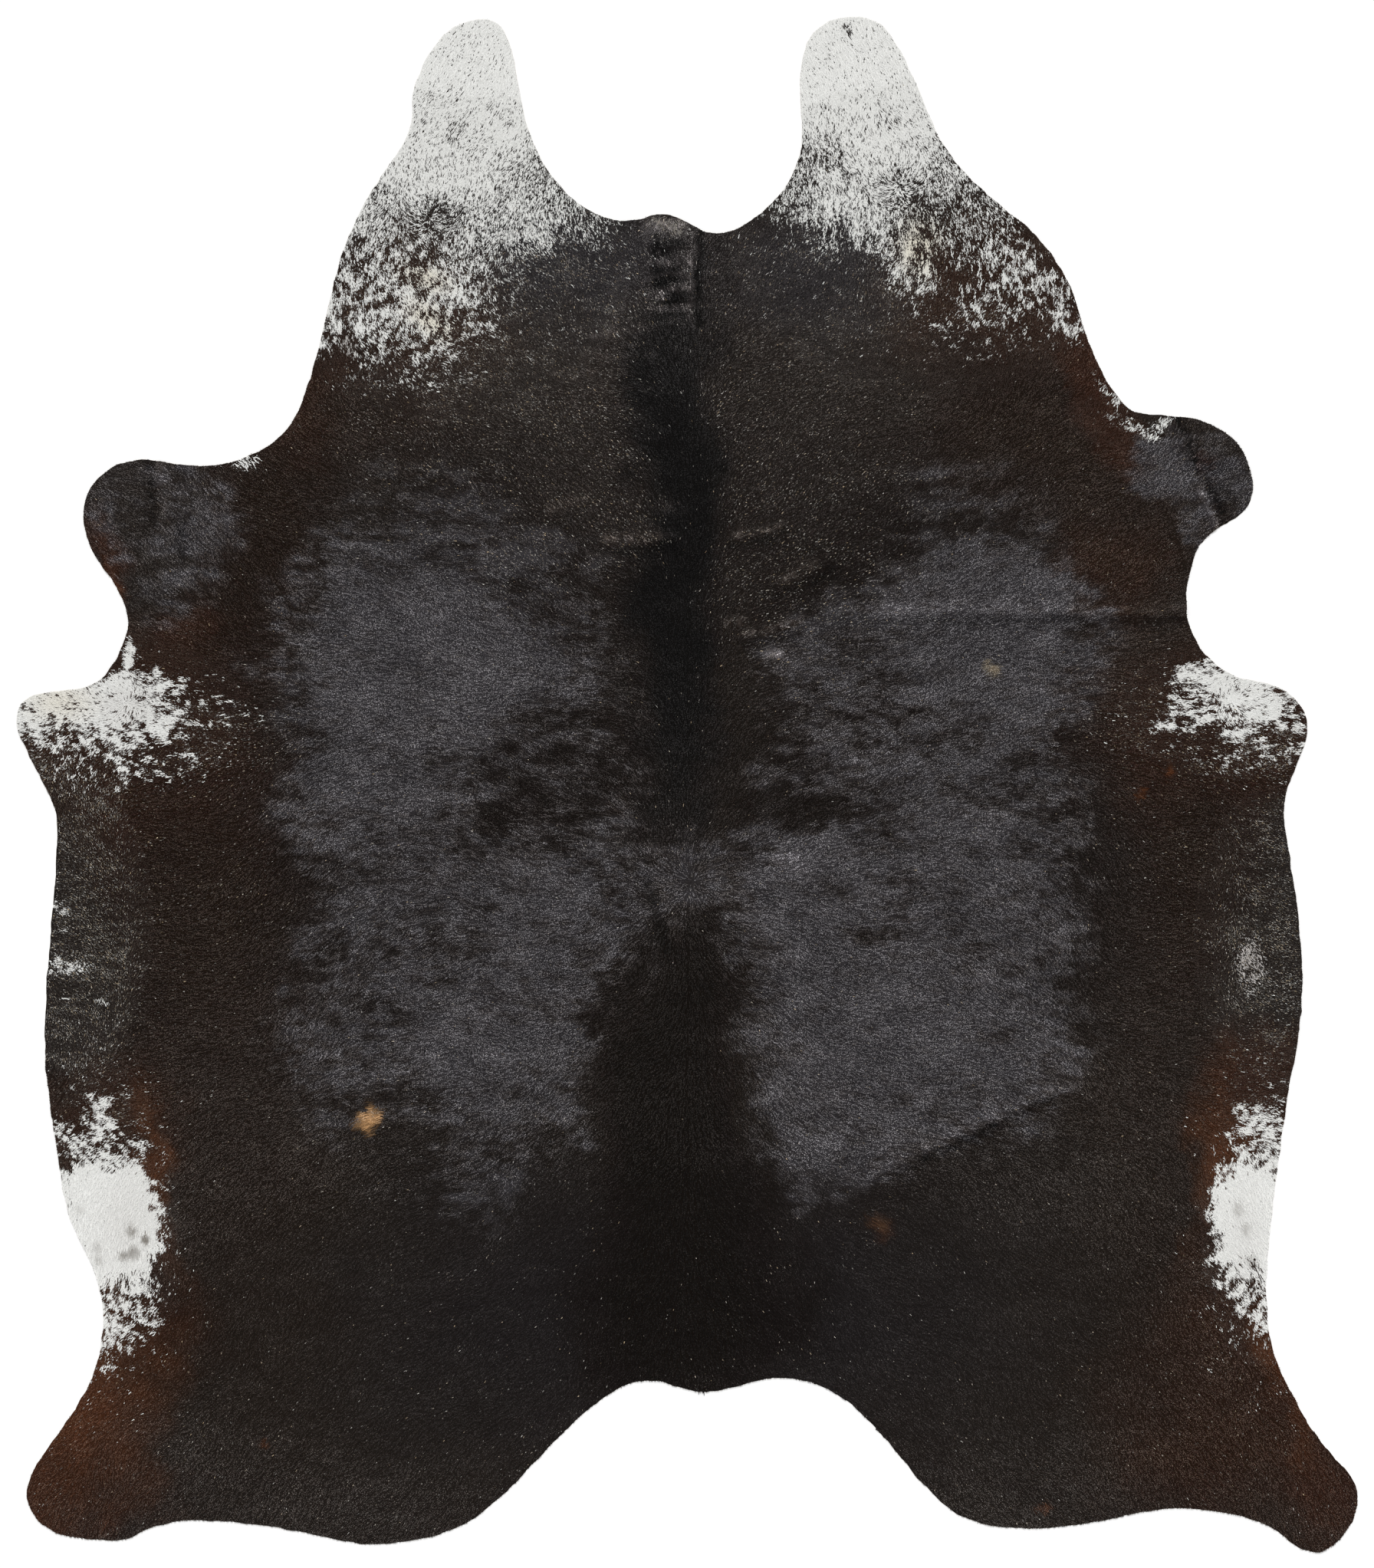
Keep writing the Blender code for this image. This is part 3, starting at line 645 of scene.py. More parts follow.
def inset_exactly(points, loop):
    """How far each point lies inside the loop, negative outside: from the two steps at its nearest point."""
    length = (loop**2).sum(1)
    slices = np.array_split(points, SLICES)
    nearest = np.concatenate([(length - 2 * part @ loop.T).argmin(1) for part in slices])
    best = np.full(len(points), np.inf)
    inside = np.ones(len(points))
    for shift in (-1, 0):
        start = loop[(nearest + shift) % len(loop)]
        run = loop[(nearest + shift + 1) % len(loop)] - start
        share = np.clip(((points - start) * run).sum(1) / (run**2).sum(1), 0, 1)
        gap = points - start - share[:, None] * run
        distance = np.linalg.norm(gap, axis=1)
        side = run[:, 0] * (points[:, 1] - start[:, 1]) - run[:, 1] * (points[:, 0] - start[:, 0])
        closer = distance < best
        inside[closer] = np.where(side[closer] >= 0, 1, -1)
        best = np.minimum(best, distance)
    return inside * best


class Hide:
    """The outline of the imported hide, how far a point lies inside it, and the rise of its folds."""

    GRID = 0.008  # the pitch of the grid of insets, in metres
    MARGIN = 0.05  # how far the grid reaches past the outline, in metres
    PARTS = 3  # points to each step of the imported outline

    def __init__(self, node):
        loop = refined(outline_of(node), self.PARTS)
        waver = layered(in_picture(loop), EDGE_WAVER)
        self.loop = loop + outward(loop) * (waver - EDGE_INSET)[:, None]
        self.low = loop.min(0) - self.MARGIN
        counts = np.ceil((loop.max(0) + self.MARGIN - self.low) / self.GRID).astype(int) + 1
        x, y = (self.low[k] + np.arange(counts[k]) * self.GRID for k in range(2))
        grid = np.stack(np.meshgrid(x, y, indexing="ij"), -1).reshape(-1, 2)
        self.insets = inset_exactly(grid, self.loop).reshape(counts)

    def inset(self, points):
        """How far each point lies inside the outline, read between the points of the grid."""
        cell = (points - self.low) / self.GRID
        corner = np.clip(np.floor(cell).astype(int), 0, np.array(self.insets.shape) - 2)
        x, y = (cell - corner).T
        i, j = corner.T
        table = self.insets
        near = table[i, j] * (1 - x) + table[i + 1, j] * x
        far = table[i, j + 1] * (1 - x) + table[i + 1, j + 1] * x
        return near * (1 - y) + far * y

    def rise(self, points):
        """The height of the highest fold at each point, and of the highest wrinkle upon it."""
        return self.highest(points, FOLDS) + self.highest(points, WRINKLES)

    @staticmethod
    def highest(points, rows):
        """The highest of the ridges: each is a cosine squared across its line."""
        top = np.zeros(len(points))
        for x0, y0, rise0, x1, y1, rise1, half_width in rows:
            start = (np.array((x0, y0)) + FOLD_SHIFT) * MM
            run = np.array((x1 - x0, y1 - y0)) * MM
            share = np.clip((points - start) @ run / (run @ run), 0, 1)
            across = np.linalg.norm(points - start - share[:, None] * run, axis=1)
            across = np.minimum(across / (half_width * MM), 1)
            height = (rise0 + (rise1 - rise0) * share) * MM
            top = np.maximum(top, height * np.cos(across * math.pi / 2) ** 2)
        return top


HIDE = Hide(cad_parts[NODE])


# --- The growth and the colours of the coat.


def spread_at(places):
    """How far the hair turns from straight down at each place, outwards from the spine, in degrees.

    The table of growth is read between its rows and its columns.
    """
    x, y = places.T
    away = np.abs(x - SPINE)
    rows = np.array(GROWTH, float)
    columns = np.stack([np.interp(y, rows[:, 0], angles) for angles in rows[:, 1:].T])
    cell = np.clip(np.searchsorted(GROWTH_COLUMNS, away, "right") - 1, 0, len(GROWTH_COLUMNS) - 2)
    left = np.array(GROWTH_COLUMNS)[cell]
    right = np.array(GROWTH_COLUMNS)[cell + 1]
    share = np.clip((away - left) / (right - left), 0, 1)
    every = np.arange(len(places))
    return columns[cell, every] * (1 - share) + columns[cell + 1, every] * share


def growth(places):
    """The angle of the hair from straight down the photograph, positive to the right, in degrees.

    It grows up the spine before the whorl on the back and down it behind, and turns outwards to
    both sides. Near a whorl the hair points away from it.
    """
    x, y = places.T
    turn = layered(places, GROWTH_WAVER, np.sign(x - SPINE) * spread_at(places))
    for *shape, other in TURNS:
        turn += (other - turn) * oval(places, *shape)
    angle = np.radians(turn)
    right, down = np.sin(angle), np.cos(angle)
    for whorl_x, whorl_y, reach in WHORLS:
        from_x, from_y = x - whorl_x, y - whorl_y
        distance = np.hypot(from_x, from_y) + TINY
        share = WHORL_PULL * (1 - eased(distance, WHORL_CORE * reach, WHORL_END * reach))
        right += (from_x / distance - right) * share
        down += (from_y / distance - down) * share
    return np.degrees(np.arctan2(right, down))


def painted_crease_shading(places):
    """Painted crease shading: how much it lightens or darkens the coat, a bell curve from each line."""
    tone = np.zeros(len(places))
    for x0, y0, x1, y1, half_width, strength in PAINTED_CREASE_SHADING:
        start, run = np.array((x0, y0), float), np.array((x1 - x0, y1 - y0), float)
        along = ((places - start) @ run) / (run @ run)
        across = np.linalg.norm(places - start - np.clip(along, 0, 1)[:, None] * run, axis=1)
        tone += strength * np.exp(-0.5 * (across / half_width) ** 2)
    return tone * np.clip(layered(places, CREASE_SHADING_GRAIN, 1.0), 0, 2)


def dark_hair(places, loose, tight, mottle):
    """The colour of the dark hair and how strong its glints are, with painted light in both.

    Where the painted sheen is full, the hair has the back's colour, a painted reflection, and its
    glints are strongest. The mottle moves the sheen's level, and the painted crease shading lightens
    or darkens hair and glints.
    """
    charcoal = np.tile(to_light(HAIR_COLOURS["charcoal"]), (len(places), 1))
    dark = tinted(loose, DARK_WASHES, HAIR_COLOURS, charcoal)
    share = painted(loose, PAINTED_SHEEN, 0.0)
    moved = (SHEEN_MOTTLE - SHEEN_CALM * share) * mottle
    level = eased((share - 0.5) * SHEEN_GAIN + moved, *SHEEN_RANGE)
    level = level * eased(share, *SHEEN_START)
    # Painted glints: weak away from the sheen and strongest where it is full.
    elsewhere = painted(loose, PAINTED_GLINTS, PAINTED_GLINTS_ELSEWHERE) * np.exp(GLINT_MOTTLE * mottle)
    glints = elsewhere + (np.exp(layered(places, CLOUD)) - elsewhere) * level
    # Painted sheen: the hair takes the back's colour as far as the sheen's level.
    dark = dark + (to_light(HAIR_COLOURS["back"]) - dark) * level[:, None]
    dark = tinted(tight, MARKS, HAIR_COLOURS, dark)
    # Painted light and shade of the soft creases, on the glints and on the hair's colour.
    tone = painted_crease_shading(pushed(places, NEAR))
    glints = glints * np.exp(tone)
    dark = dark * np.exp(CREASE_SHADING_IN_COLOUR * tone)[:, None]
    hue = (dark / dark.mean(1)[:, None]) ** GLINT_HUE
    return dark, hue * glints[:, None]


def white_hair(places, tight, turn, luck):
    """Whether a lock at each place is white, and the share of white hair that shows under the locks.

    Patches that many locks share, a grain and each lock's own luck are mixed as the clumping says.
    The mix over its spread becomes a chance from 0 to 1, by a curve that is close to a bell's. A
    lock is white where that chance is below the share of white hair.
    """
    clumping = painted(places, CLUMPS, CLUMPS_ELSEWHERE)
    patches = layered(places, PATCHES) + PATCH_WEIGHT * combed_noise(places, turn, *PATCH_COMB)
    alone = 1 - CLUMPED * clumping
    mix = clumping * patches + GRAIN_WEIGHT * combed_noise(places, turn, *GRAIN_COMB) + alone * luck
    spread = np.sqrt(clumping**2 + GRAIN_WEIGHT**2 + alone**2)
    chance = 1 / (1 + np.exp(-BELL * mix / spread))
    white_share = painted(tight, WHITE, 0.0)
    lean = clumping * patches * white_share * (1 - white_share)
    return chance < white_share, np.clip(white_share - LEAN_WEIGHT * lean, 0, 1)


def coat_at(places, turn, luck):
    """The coat at each place, for hair that leans by turn. luck is one random number a lock.

    Gives the colour of its dark hair, with the painted sheen and crease shading in it, how strong its
    painted glints are, the colour of its white hair, the share of white hair, whether a lock there is
    white, and the share of light hairs. Colours are given as light.
    """
    loose, tight = pushed(places, LOOSE), pushed(places, TIGHT)
    mottle = layered(places, MOTTLE)
    dark, glints = dark_hair(places, loose, tight, mottle)
    white, seen_share = white_hair(places, tight, turn, luck)
    light = np.tile(to_light(WHITE_COLOURS["white"]), (len(places), 1))
    light = tinted(places, WHITE_TINTS, WHITE_COLOURS, light)
    flecks = painted(loose, FLECKS, FLECKS_ELSEWHERE) * np.exp(FLECK_MOTTLE * mottle)
    flecks = np.maximum(flecks, painted(places, STREAKS, 0.0))
    flecks = np.where(white, painted(tight, SPECKS, SPECKS_ELSEWHERE), flecks)
    return dark, glints, light, seen_share, white, flecks


# --- Meshes and materials.


def mesh_piece(name, points, corners, sizes, materials):
    """A new mesh object from arrays: its points, the corners of its faces and the faces' sizes."""
    mesh = bpy.data.meshes.new(name)
    mesh.vertices.add(len(points))
    mesh.vertices.foreach_set("co", points.astype(np.float32).ravel())
    mesh.loops.add(len(corners))
    mesh.loops.foreach_set("vertex_index", corners.astype(np.int32))
    mesh.polygons.add(len(sizes))
    starts = np.concatenate(([0], np.cumsum(sizes)[:-1]))
    mesh.polygons.foreach_set("loop_start", starts.astype(np.int32))
    mesh.polygons.foreach_set("loop_total", sizes.astype(np.int32))
    mesh.update(calc_edges=True)
    mesh.validate()
    for material in materials:
        mesh.materials.append(material)
    piece = bpy.data.objects.new(name, mesh)
    bpy.context.scene.collection.objects.link(piece)
    return piece


def give_colour(piece, name, colour):
    """A colour for each point of a piece, as light."""
    layer = piece.data.attributes.new(name, "FLOAT_COLOR", "POINT")
    full = np.column_stack((colour, np.ones(len(colour))))
    layer.data.foreach_set("color", full.astype(np.float32).ravel())


def give_number(piece, name, values):
    """A number for each point of a piece."""
    layer = piece.data.attributes.new(name, "FLOAT", "POINT")
    layer.data.foreach_set("value", values.astype(np.float32))


def give_map(piece, name, spots):
    """A UV map from one spot for each point of a piece."""
    corners = np.zeros(len(piece.data.loops), np.int32)
    piece.data.loops.foreach_get("vertex_index", corners)
    layer = piece.data.uv_layers.new(name=name)
    layer.data.foreach_set("uv", spots[corners].astype(np.float32).ravel())


class Nodes:
    """A new material's node tree, with short ways to add and link its nodes."""

    USUAL = (0.3, 0.7)  # between these lies nearly all of Blender's noise

    def __init__(self, name):
        self.material = bpy.data.materials.new(name)
        self.material.use_nodes = True
        self.tree = self.material.node_tree
        self.shader = self.tree.nodes["Principled BSDF"]
        self.place = self.add("ShaderNodeTexCoord").outputs["Object"]

    def add(self, kind, inputs=(), **settings):
        """A node with its settings, and its inputs set to numbers or linked to outputs."""
        node = self.tree.nodes.new(kind)
        for name, value in settings.items():
            setattr(node, name, value)
        for key, value in dict(inputs).items():
            self.put(node.inputs[key], value)
        return node

    def put(self, socket, value):
        """Links a socket to an output, or sets it to a plain value."""
        if isinstance(value, bpy.types.NodeSocket):
            self.tree.links.new(value, socket)
        else:
            socket.default_value = value

    def noise(self, scale, detail, roughness, where=None):
        """Blender's noise on the object's own coordinates, or on those given."""
        place = self.place if where is None else where
        inputs = {"Vector": place, "Scale": scale, "Detail": detail, "Roughness": roughness}
        return self.add("ShaderNodeTexNoise", inputs).outputs["Fac"]

    def ranged(self, value, low, high, to_low, to_high):
        """The value's range from low to high, moved to another range and kept inside it."""
        inputs = {0: value, 1: low, 2: high, 3: to_low, 4: to_high}
        return self.add("ShaderNodeMapRange", inputs, clamp=True).outputs[0]

    def between(self, noise, low, high):
        """Noise moved from where nearly all of it lies to a range of its own."""
        return self.ranged(noise, *self.USUAL, low, high)

    def sum(self, operation, first, second):
        """Two numbers put together."""
        return self.add("ShaderNodeMath", {0: first, 1: second}, operation=operation).outputs[0]

    def mixed(self, share, first, second):
        """Two colours mixed by a share."""
        inputs = {0: share, 6: first, 7: second}
        return self.add("ShaderNodeMix", inputs, data_type="RGBA").outputs[2]

    def joined(self, first, second):
        """The light of two colours added up."""
        return self.add("ShaderNodeVectorMath", {0: first, 1: second}, operation="ADD").outputs[0]

    def scaled(self, colour, factor):
        """A colour made brighter or darker by a factor."""
        node = self.add("ShaderNodeVectorMath", {0: colour}, operation="SCALE")
        self.put(node.inputs["Scale"], factor)
        return node.outputs[0]

    def attribute(self, name, output="Color"):
        """What a piece holds for each of its points under that name."""
        return self.add("ShaderNodeAttribute", attribute_name=name).outputs[output]

    def bump(self, height, strength, distance):
        """A normal from a height, in metres."""
        inputs = {"Height": height, "Strength": strength, "Distance": distance}
        return self.add("ShaderNodeBump", inputs).outputs[0]

    def finish(self, colour, roughness, gloss, normal=None):
        """Links or sets the shader's colour, roughness, gloss and normal, and gives the material."""
        inputs = {"Base Color": colour, "Roughness": roughness, "Specular IOR Level": gloss}
        if normal is not None:
            inputs["Normal"] = normal
        for name, value in inputs.items():
            self.put(self.shader.inputs[name], value)
        return self.material


LOCK_MAP = (1.7, 8.2)  # a lock's width and length on its map of grain
LOCK_TONE = (0.92, 1.08)  # how the grain darkens and lightens a lock's colour
# TIP_SHADE: how much lighter a lock's tip is painted, as the painted shade at its root fades.
TIP_SHADE = 1.08
GLINT_LIMIT = 15.0  # the brightest painted glint beside the usual
GRIT_GAIN = 0.6  # the power of e by which plain painted glints are raised, so that they send back as much


def lock_material(settings):
    """The coat's locks: each in its own colour, darker at the root as painted shade, with fine glints
    on the hairs.

    The glints are highlights painted into the colour: e to the power of noise that is stretched
    along the lock, so few are bright.
    """
    nodes = Nodes("combed coat")
    spot = nodes.add("ShaderNodeUVMap", uv_map="lock").outputs[0]
    grain = nodes.noise(scale=1.0, detail=0.0, roughness=0.5, where=spot)
    length = nodes.add("ShaderNodeSeparateXYZ", {0: spot}).outputs[1]
    tone = nodes.between(grain, *LOCK_TONE)
    # Painted shade: each lock darker at its root and a little lighter at its tip.
    rooted = nodes.ranged(length, 0.0, LOCK_MAP[1], settings.root_shade, TIP_SHADE)
    colour = nodes.scaled(nodes.attribute("hair_colour"), nodes.sum("MULTIPLY", tone, rooted))
    power = nodes.sum("MULTIPLY", nodes.sum("SUBTRACT", grain, 0.5), settings.glint_contrast)
    power = nodes.sum("MULTIPLY", power, nodes.attribute("grit", "Fac"))
    glint = nodes.sum("MINIMUM", nodes.sum("EXPONENT", power, 0.0), GLINT_LIMIT)
    # Painted glints: the glints' light, added to the lock's colour below.
    shine = nodes.scaled(nodes.attribute("glints"), nodes.sum("MULTIPLY", glint, settings.glint))
    roughness = nodes.between(grain, 0.44, 0.60)
    normal = nodes.bump(grain, strength=0.35, distance=0.2 * MM)
    return nodes.finish(nodes.joined(colour, shine), roughness, settings.gloss, normal)


UNDERCOAT_DARK = (0.2, 1.8)  # how dark and how light the hairs of the dark undercoat are
UNDERCOAT_WHITE = (0.6, 1.4)  # and those of the white one
UNDERCOAT_EDGE = 0.06  # half the share over which white and dark hair meet


def undercoat_material(settings):
    """The short hair under the locks: dark hair with white among it where the coat is white."""
    nodes = Nodes("undercoat")
    flecks = nodes.ranged(nodes.noise(scale=330.0, detail=2.0, roughness=0.6), 0.32, 0.68, 0.08, 0.92)
    lead = nodes.sum("SUBTRACT", nodes.attribute("white_share", "Fac"), flecks)
    share = nodes.ranged(lead, -UNDERCOAT_EDGE, UNDERCOAT_EDGE, 0.0, 1.0)
    grain = nodes.noise(scale=900.0, detail=2.0, roughness=0.6)
    # Painted shade: the undercoat is darkened, as it lies under the locks.
    shade = settings.undercoat_shade
    strong = nodes.between(grain, *(tone * shade for tone in UNDERCOAT_DARK))
    mild = nodes.between(grain, *(tone * shade for tone in UNDERCOAT_WHITE))
    dark = nodes.scaled(nodes.attribute("dark_hair"), strong)
    colour = nodes.mixed(share, dark, nodes.scaled(nodes.attribute("white_hair"), mild))
    normal = nodes.bump(grain, strength=0.5, distance=0.4 * MM)
    return nodes.finish(colour, nodes.between(grain, 0.55, 0.75), settings.gloss, normal)


SUEDE_DEEP = 0.72  # the darkest clouds of the suede beside its colour
SUEDE_NAP = (0.86, 1.1)  # how the nap darkens and lightens it
SUEDE_GLOSS = 0.2


def suede_material(settings):
    """The bare flesh side and the cut edge: pale suede, cloudy, with a short nap."""
    nodes = Nodes("suede")
    clouds = nodes.noise(scale=7.0, detail=4.0, roughness=0.6)
    nap = nodes.noise(scale=700.0, detail=3.0, roughness=0.7)
    base = plain_light(settings.suede_colour)
    deep = tuple(SUEDE_DEEP * channel for channel in base[:3]) + (1.0,)
    colour = nodes.mixed(nodes.between(clouds, 0.0, 1.0), deep, base)
    colour = nodes.scaled(colour, nodes.between(nap, *SUEDE_NAP))
    normal = nodes.bump(nap, strength=0.4, distance=0.3 * MM)
    return nodes.finish(colour, nodes.between(nap, 0.8, 0.95), SUEDE_GLOSS, normal)


# --- The skin.

# The rim of the skin, from the flesh side to the hair side. In millimetres: how far in, how high.
RIM_PROFILE = ((0.8, 0.05), (0.1, 0.20), (0.0, 0.60), (0.1, 1.10), (0.5, 1.55), (1.6, 2.00))
RIM_SUEDE_ROWS = 3  # strips of the rim's profile that show the cut skin
FOLD_SEEN = 0.05 * MM  # a rise above which the lattices are close
HAIR_SIDE_GAP = 0.3  # the gap between the rim and the first points, beside the skin's pitch
FLESH_SIDE_GAP = 6 * MM
SPARSE_ROWS = 4  # on flat ground the flesh side has one row of its lattice in so many
MAP_SIDE = 2.34  # metres of hair side to the map's width
MAP_MARGIN = 0.01  # metres of it outside the hide
FLESH_MAP_SCALE = 0.12  # how much smaller the flesh side lies on the map, in the strip beside it
FLESH_MAP_CORNER = (0.88, 0.02)
UNDERCOAT_GLINT = 0.029  # how much painted glint light the undercoat's colour has where the sheen is full
UNDERCOAT_GLOW = 1.5  # the power that keeps it dark where the glints are weak
WHITE_LIFT = 1.15  # how much lighter the white undercoat is than the locks


def lattice(pitch, keep):
    """Points of a lattice of triangles inside the outline, as keep(points, rows, columns) says."""
    height = pitch * math.sqrt(3) / 2
    low, high = HIDE.loop.min(0), HIDE.loop.max(0)
    columns = np.arange(int((high[0] - low[0]) / pitch) + 2)
    rows = np.arange(int((high[1] - low[1]) / height) + 2)
    column, row = (grid.ravel() for grid in np.meshgrid(columns, rows))
    x = low[0] + (column + 0.5 * (row % 2)) * pitch
    points = np.column_stack((x, low[1] + row * height))
    return points[keep(points, row, column)]


def skin_lattices(settings):
    """The points on the hair side and on the flesh side: close on the folds and sparse between them."""

    def hair_side(points, row, column):
        gap = RIM_PROFILE[-1][0] * MM + HAIR_SIDE_GAP * settings.skin_pitch
        coarse = (row % 2 == 0) & (column % 2 == (row // 2) % 2)
        return (HIDE.inset(points) > gap) & (coarse | (HIDE.rise(points) > FOLD_SEEN))

    def flesh_side(points, row, column):
        coarse = row % SPARSE_ROWS == 0
        return (HIDE.inset(points) > FLESH_SIDE_GAP) & (coarse | (HIDE.rise(points) > FOLD_SEEN))

    return lattice(settings.skin_pitch / 2, hair_side), lattice(settings.flesh_pitch, flesh_side)


def filled(loop, inside):
    """The triangles that fill a loop through the points inside it, anticlockwise from above."""
    points = np.vstack((loop, inside))
    rim = [list(range(len(loop)))]
    made, _, faces, *_ = delaunay_2d_cdt(points.tolist(), [], rim, 1, TINY)
    if len(made) != len(points):
        raise RuntimeError("the skin's points were merged")
    faces = np.array(faces)
    a, b, c = (points[faces[:, k]] for k in range(3))
    side = (b[:, 0] - a[:, 0]) * (c[:, 1] - a[:, 1]) - (b[:, 1] - a[:, 1]) * (c[:, 0] - a[:, 0])
    faces[side < 0] = faces[side < 0][:, ::-1]
    return faces


def skin_faces(rings, upper, lower):
    """The skin's faces: quads between each two rings, and the triangles of its two sides."""
    around = len(rings[0])
    ring = np.arange(around)
    after = (ring + 1) % around
    strip = np.column_stack((ring, after, after + around, ring + around))
    quads = np.vstack([strip + k * around for k in range(len(rings) - 1)])
    top = filled(rings[-1], upper) + (len(rings) - 1) * around
    bottom = filled(rings[0], lower)
    lower_start = len(rings) * around + len(upper)
    bottom = np.where(bottom < around, bottom, bottom - around + lower_start)[:, ::-1]
    return quads, top, bottom


def make_skin(settings):
    """The skin: the rim's profile carried along the outline, and a lattice on the folds on each side.

    A point of a lattice stands at the folds' rise above the floor, and the hair side lies a skin's
    thickness higher.
    """
    around = len(HIDE.loop)
    rings = [HIDE.loop - outward(HIDE.loop) * inset * MM for inset, _ in RIM_PROFILE]
    upper, lower = skin_lattices(settings)
    flat = np.vstack(rings + [upper, lower])
    levels = [up for _, up in RIM_PROFILE] + [RIM_PROFILE[-1][1], RIM_PROFILE[0][1]]
    heights = np.repeat(levels, [around] * len(rings) + [len(upper), len(lower)]) * MM
    points = np.column_stack((flat, heights + HIDE.rise(flat)))
    quads, top, bottom = skin_faces(rings, upper, lower)
    corners = np.concatenate((quads.ravel(), top.ravel(), bottom.ravel()))
    sizes = np.repeat((4, 3), (len(quads), len(top) + len(bottom)))
    materials = (undercoat_material(settings), suede_material(settings))
    skin = mesh_piece("cowhide_skin", points, corners, sizes, materials)
    skin.data.shade_smooth()
    suede = np.zeros(len(sizes), np.int32)
    suede[: RIM_SUEDE_ROWS * around] = 1
    suede[len(quads) + len(top):] = 1
    skin.data.polygons.foreach_set("material_index", suede)
    flesh = np.zeros(len(flat), bool)
    flesh[:around] = True
    flesh[len(flat) - len(lower):] = True
    colour_skin(skin, flat)
    map_skin(skin, flat, flesh)
    return skin


def colour_skin(skin, flat):
    """The undercoat's colours: dark hair with the light of painted glints added, and lighter white hair."""
    places = in_picture(flat)
    dark, glints, light, seen_share, _, _ = coat_at(places, growth(places), np.zeros(len(flat)))
    give_colour(skin, "dark_hair", dark + UNDERCOAT_GLINT * glints**UNDERCOAT_GLOW)
    give_colour(skin, "white_hair", WHITE_LIFT * light)
    give_number(skin, "white_share", seen_share)


def map_skin(skin, flat, flesh):
    """The skin's map: the hair side as seen from above, and the flesh side small beside it."""
    spots = (flat - np.array(CAD_BOX[0][:2]) + MAP_MARGIN) / MAP_SIDE
    spots[flesh] = spots[flesh] * FLESH_MAP_SCALE + FLESH_MAP_CORNER
    give_map(skin, "OFBake", spots)


# --- The coat.

REGIONS = ("coat_neck", "coat_shoulders", "coat_barrel", "coat_loin", "coat_rump")

# How lengths, widths and white hair vary: the spread, the least and the most, beside the usual.
LENGTH_VARIES = (0.22, 0.5, 1.6)
WIDTH_VARIES = (0.25, 0.5, 1.7)
WHITE_VARIES = (0.03, 0.9, 1.1)
OVERHANG_VARIES = (0.1, 1.2)  # the least and the most of the overhang that a lock takes
SHORTEST = 0.06  # the least share of its length that a lock at the edge keeps
MOST_ROLL = 2  # times the usual
LAYERS = 0.35  # millimetres of height over which the roots are spread
TIP_LAYERS = 0.5  # and the tips besides
MIDDLE = 0.6  # the place along a lock where its colour is read
LOCK_CORNERS = ((0.0, 0.0), (1.0, 0.0), (0.7, 1.0), (0.3, 1.0))  # on its map of grain
CELL_CORNERS = ((0.2, 0.2), (0.8, 0.2), (0.8, 0.8), (0.2, 0.8))  # on its cell of the baked map
GRAIN_MAP_LENGTH = 900  # how far apart the locks may lie on the map of grain

# Flecks are light hairs in the dark coat, specks dark ones in the white coat. A lone lock is one
# whose colour is rare where it lies. All three are short and thin.
LONE_WHITE = 0.3  # a white lock is lone where the share of white hair is below this
LONE_DARK = 0.96  # and a dark lock where the share is above this
SHORT_VARIES = (0.07, 0.29)  # their length beside a lock's
LONE_LENGTH = 1.8
SPECK_LENGTH = 1.4
LONE_WIDTH = 0.70
FLECK_WIDTH = 0.41
FLECK_ROOT = 0.5  # millimetres that a fleck's root lies higher than a lock's
FLECK_TIP = 0.3
FAINT_VARIES = (0.13, 1.3)  # how bright a fleck is
STRAW_POWER = 3  # makes pale flecks usual and straw-coloured ones rare
SPECK_DARK = 1.5  # how much of the dark hair's colour a speck has
SPECK_LIGHT = 0.25  # and of the white hair's
DARKEST = 0.2  # the least that the gloss leaves of the dark hair's colour


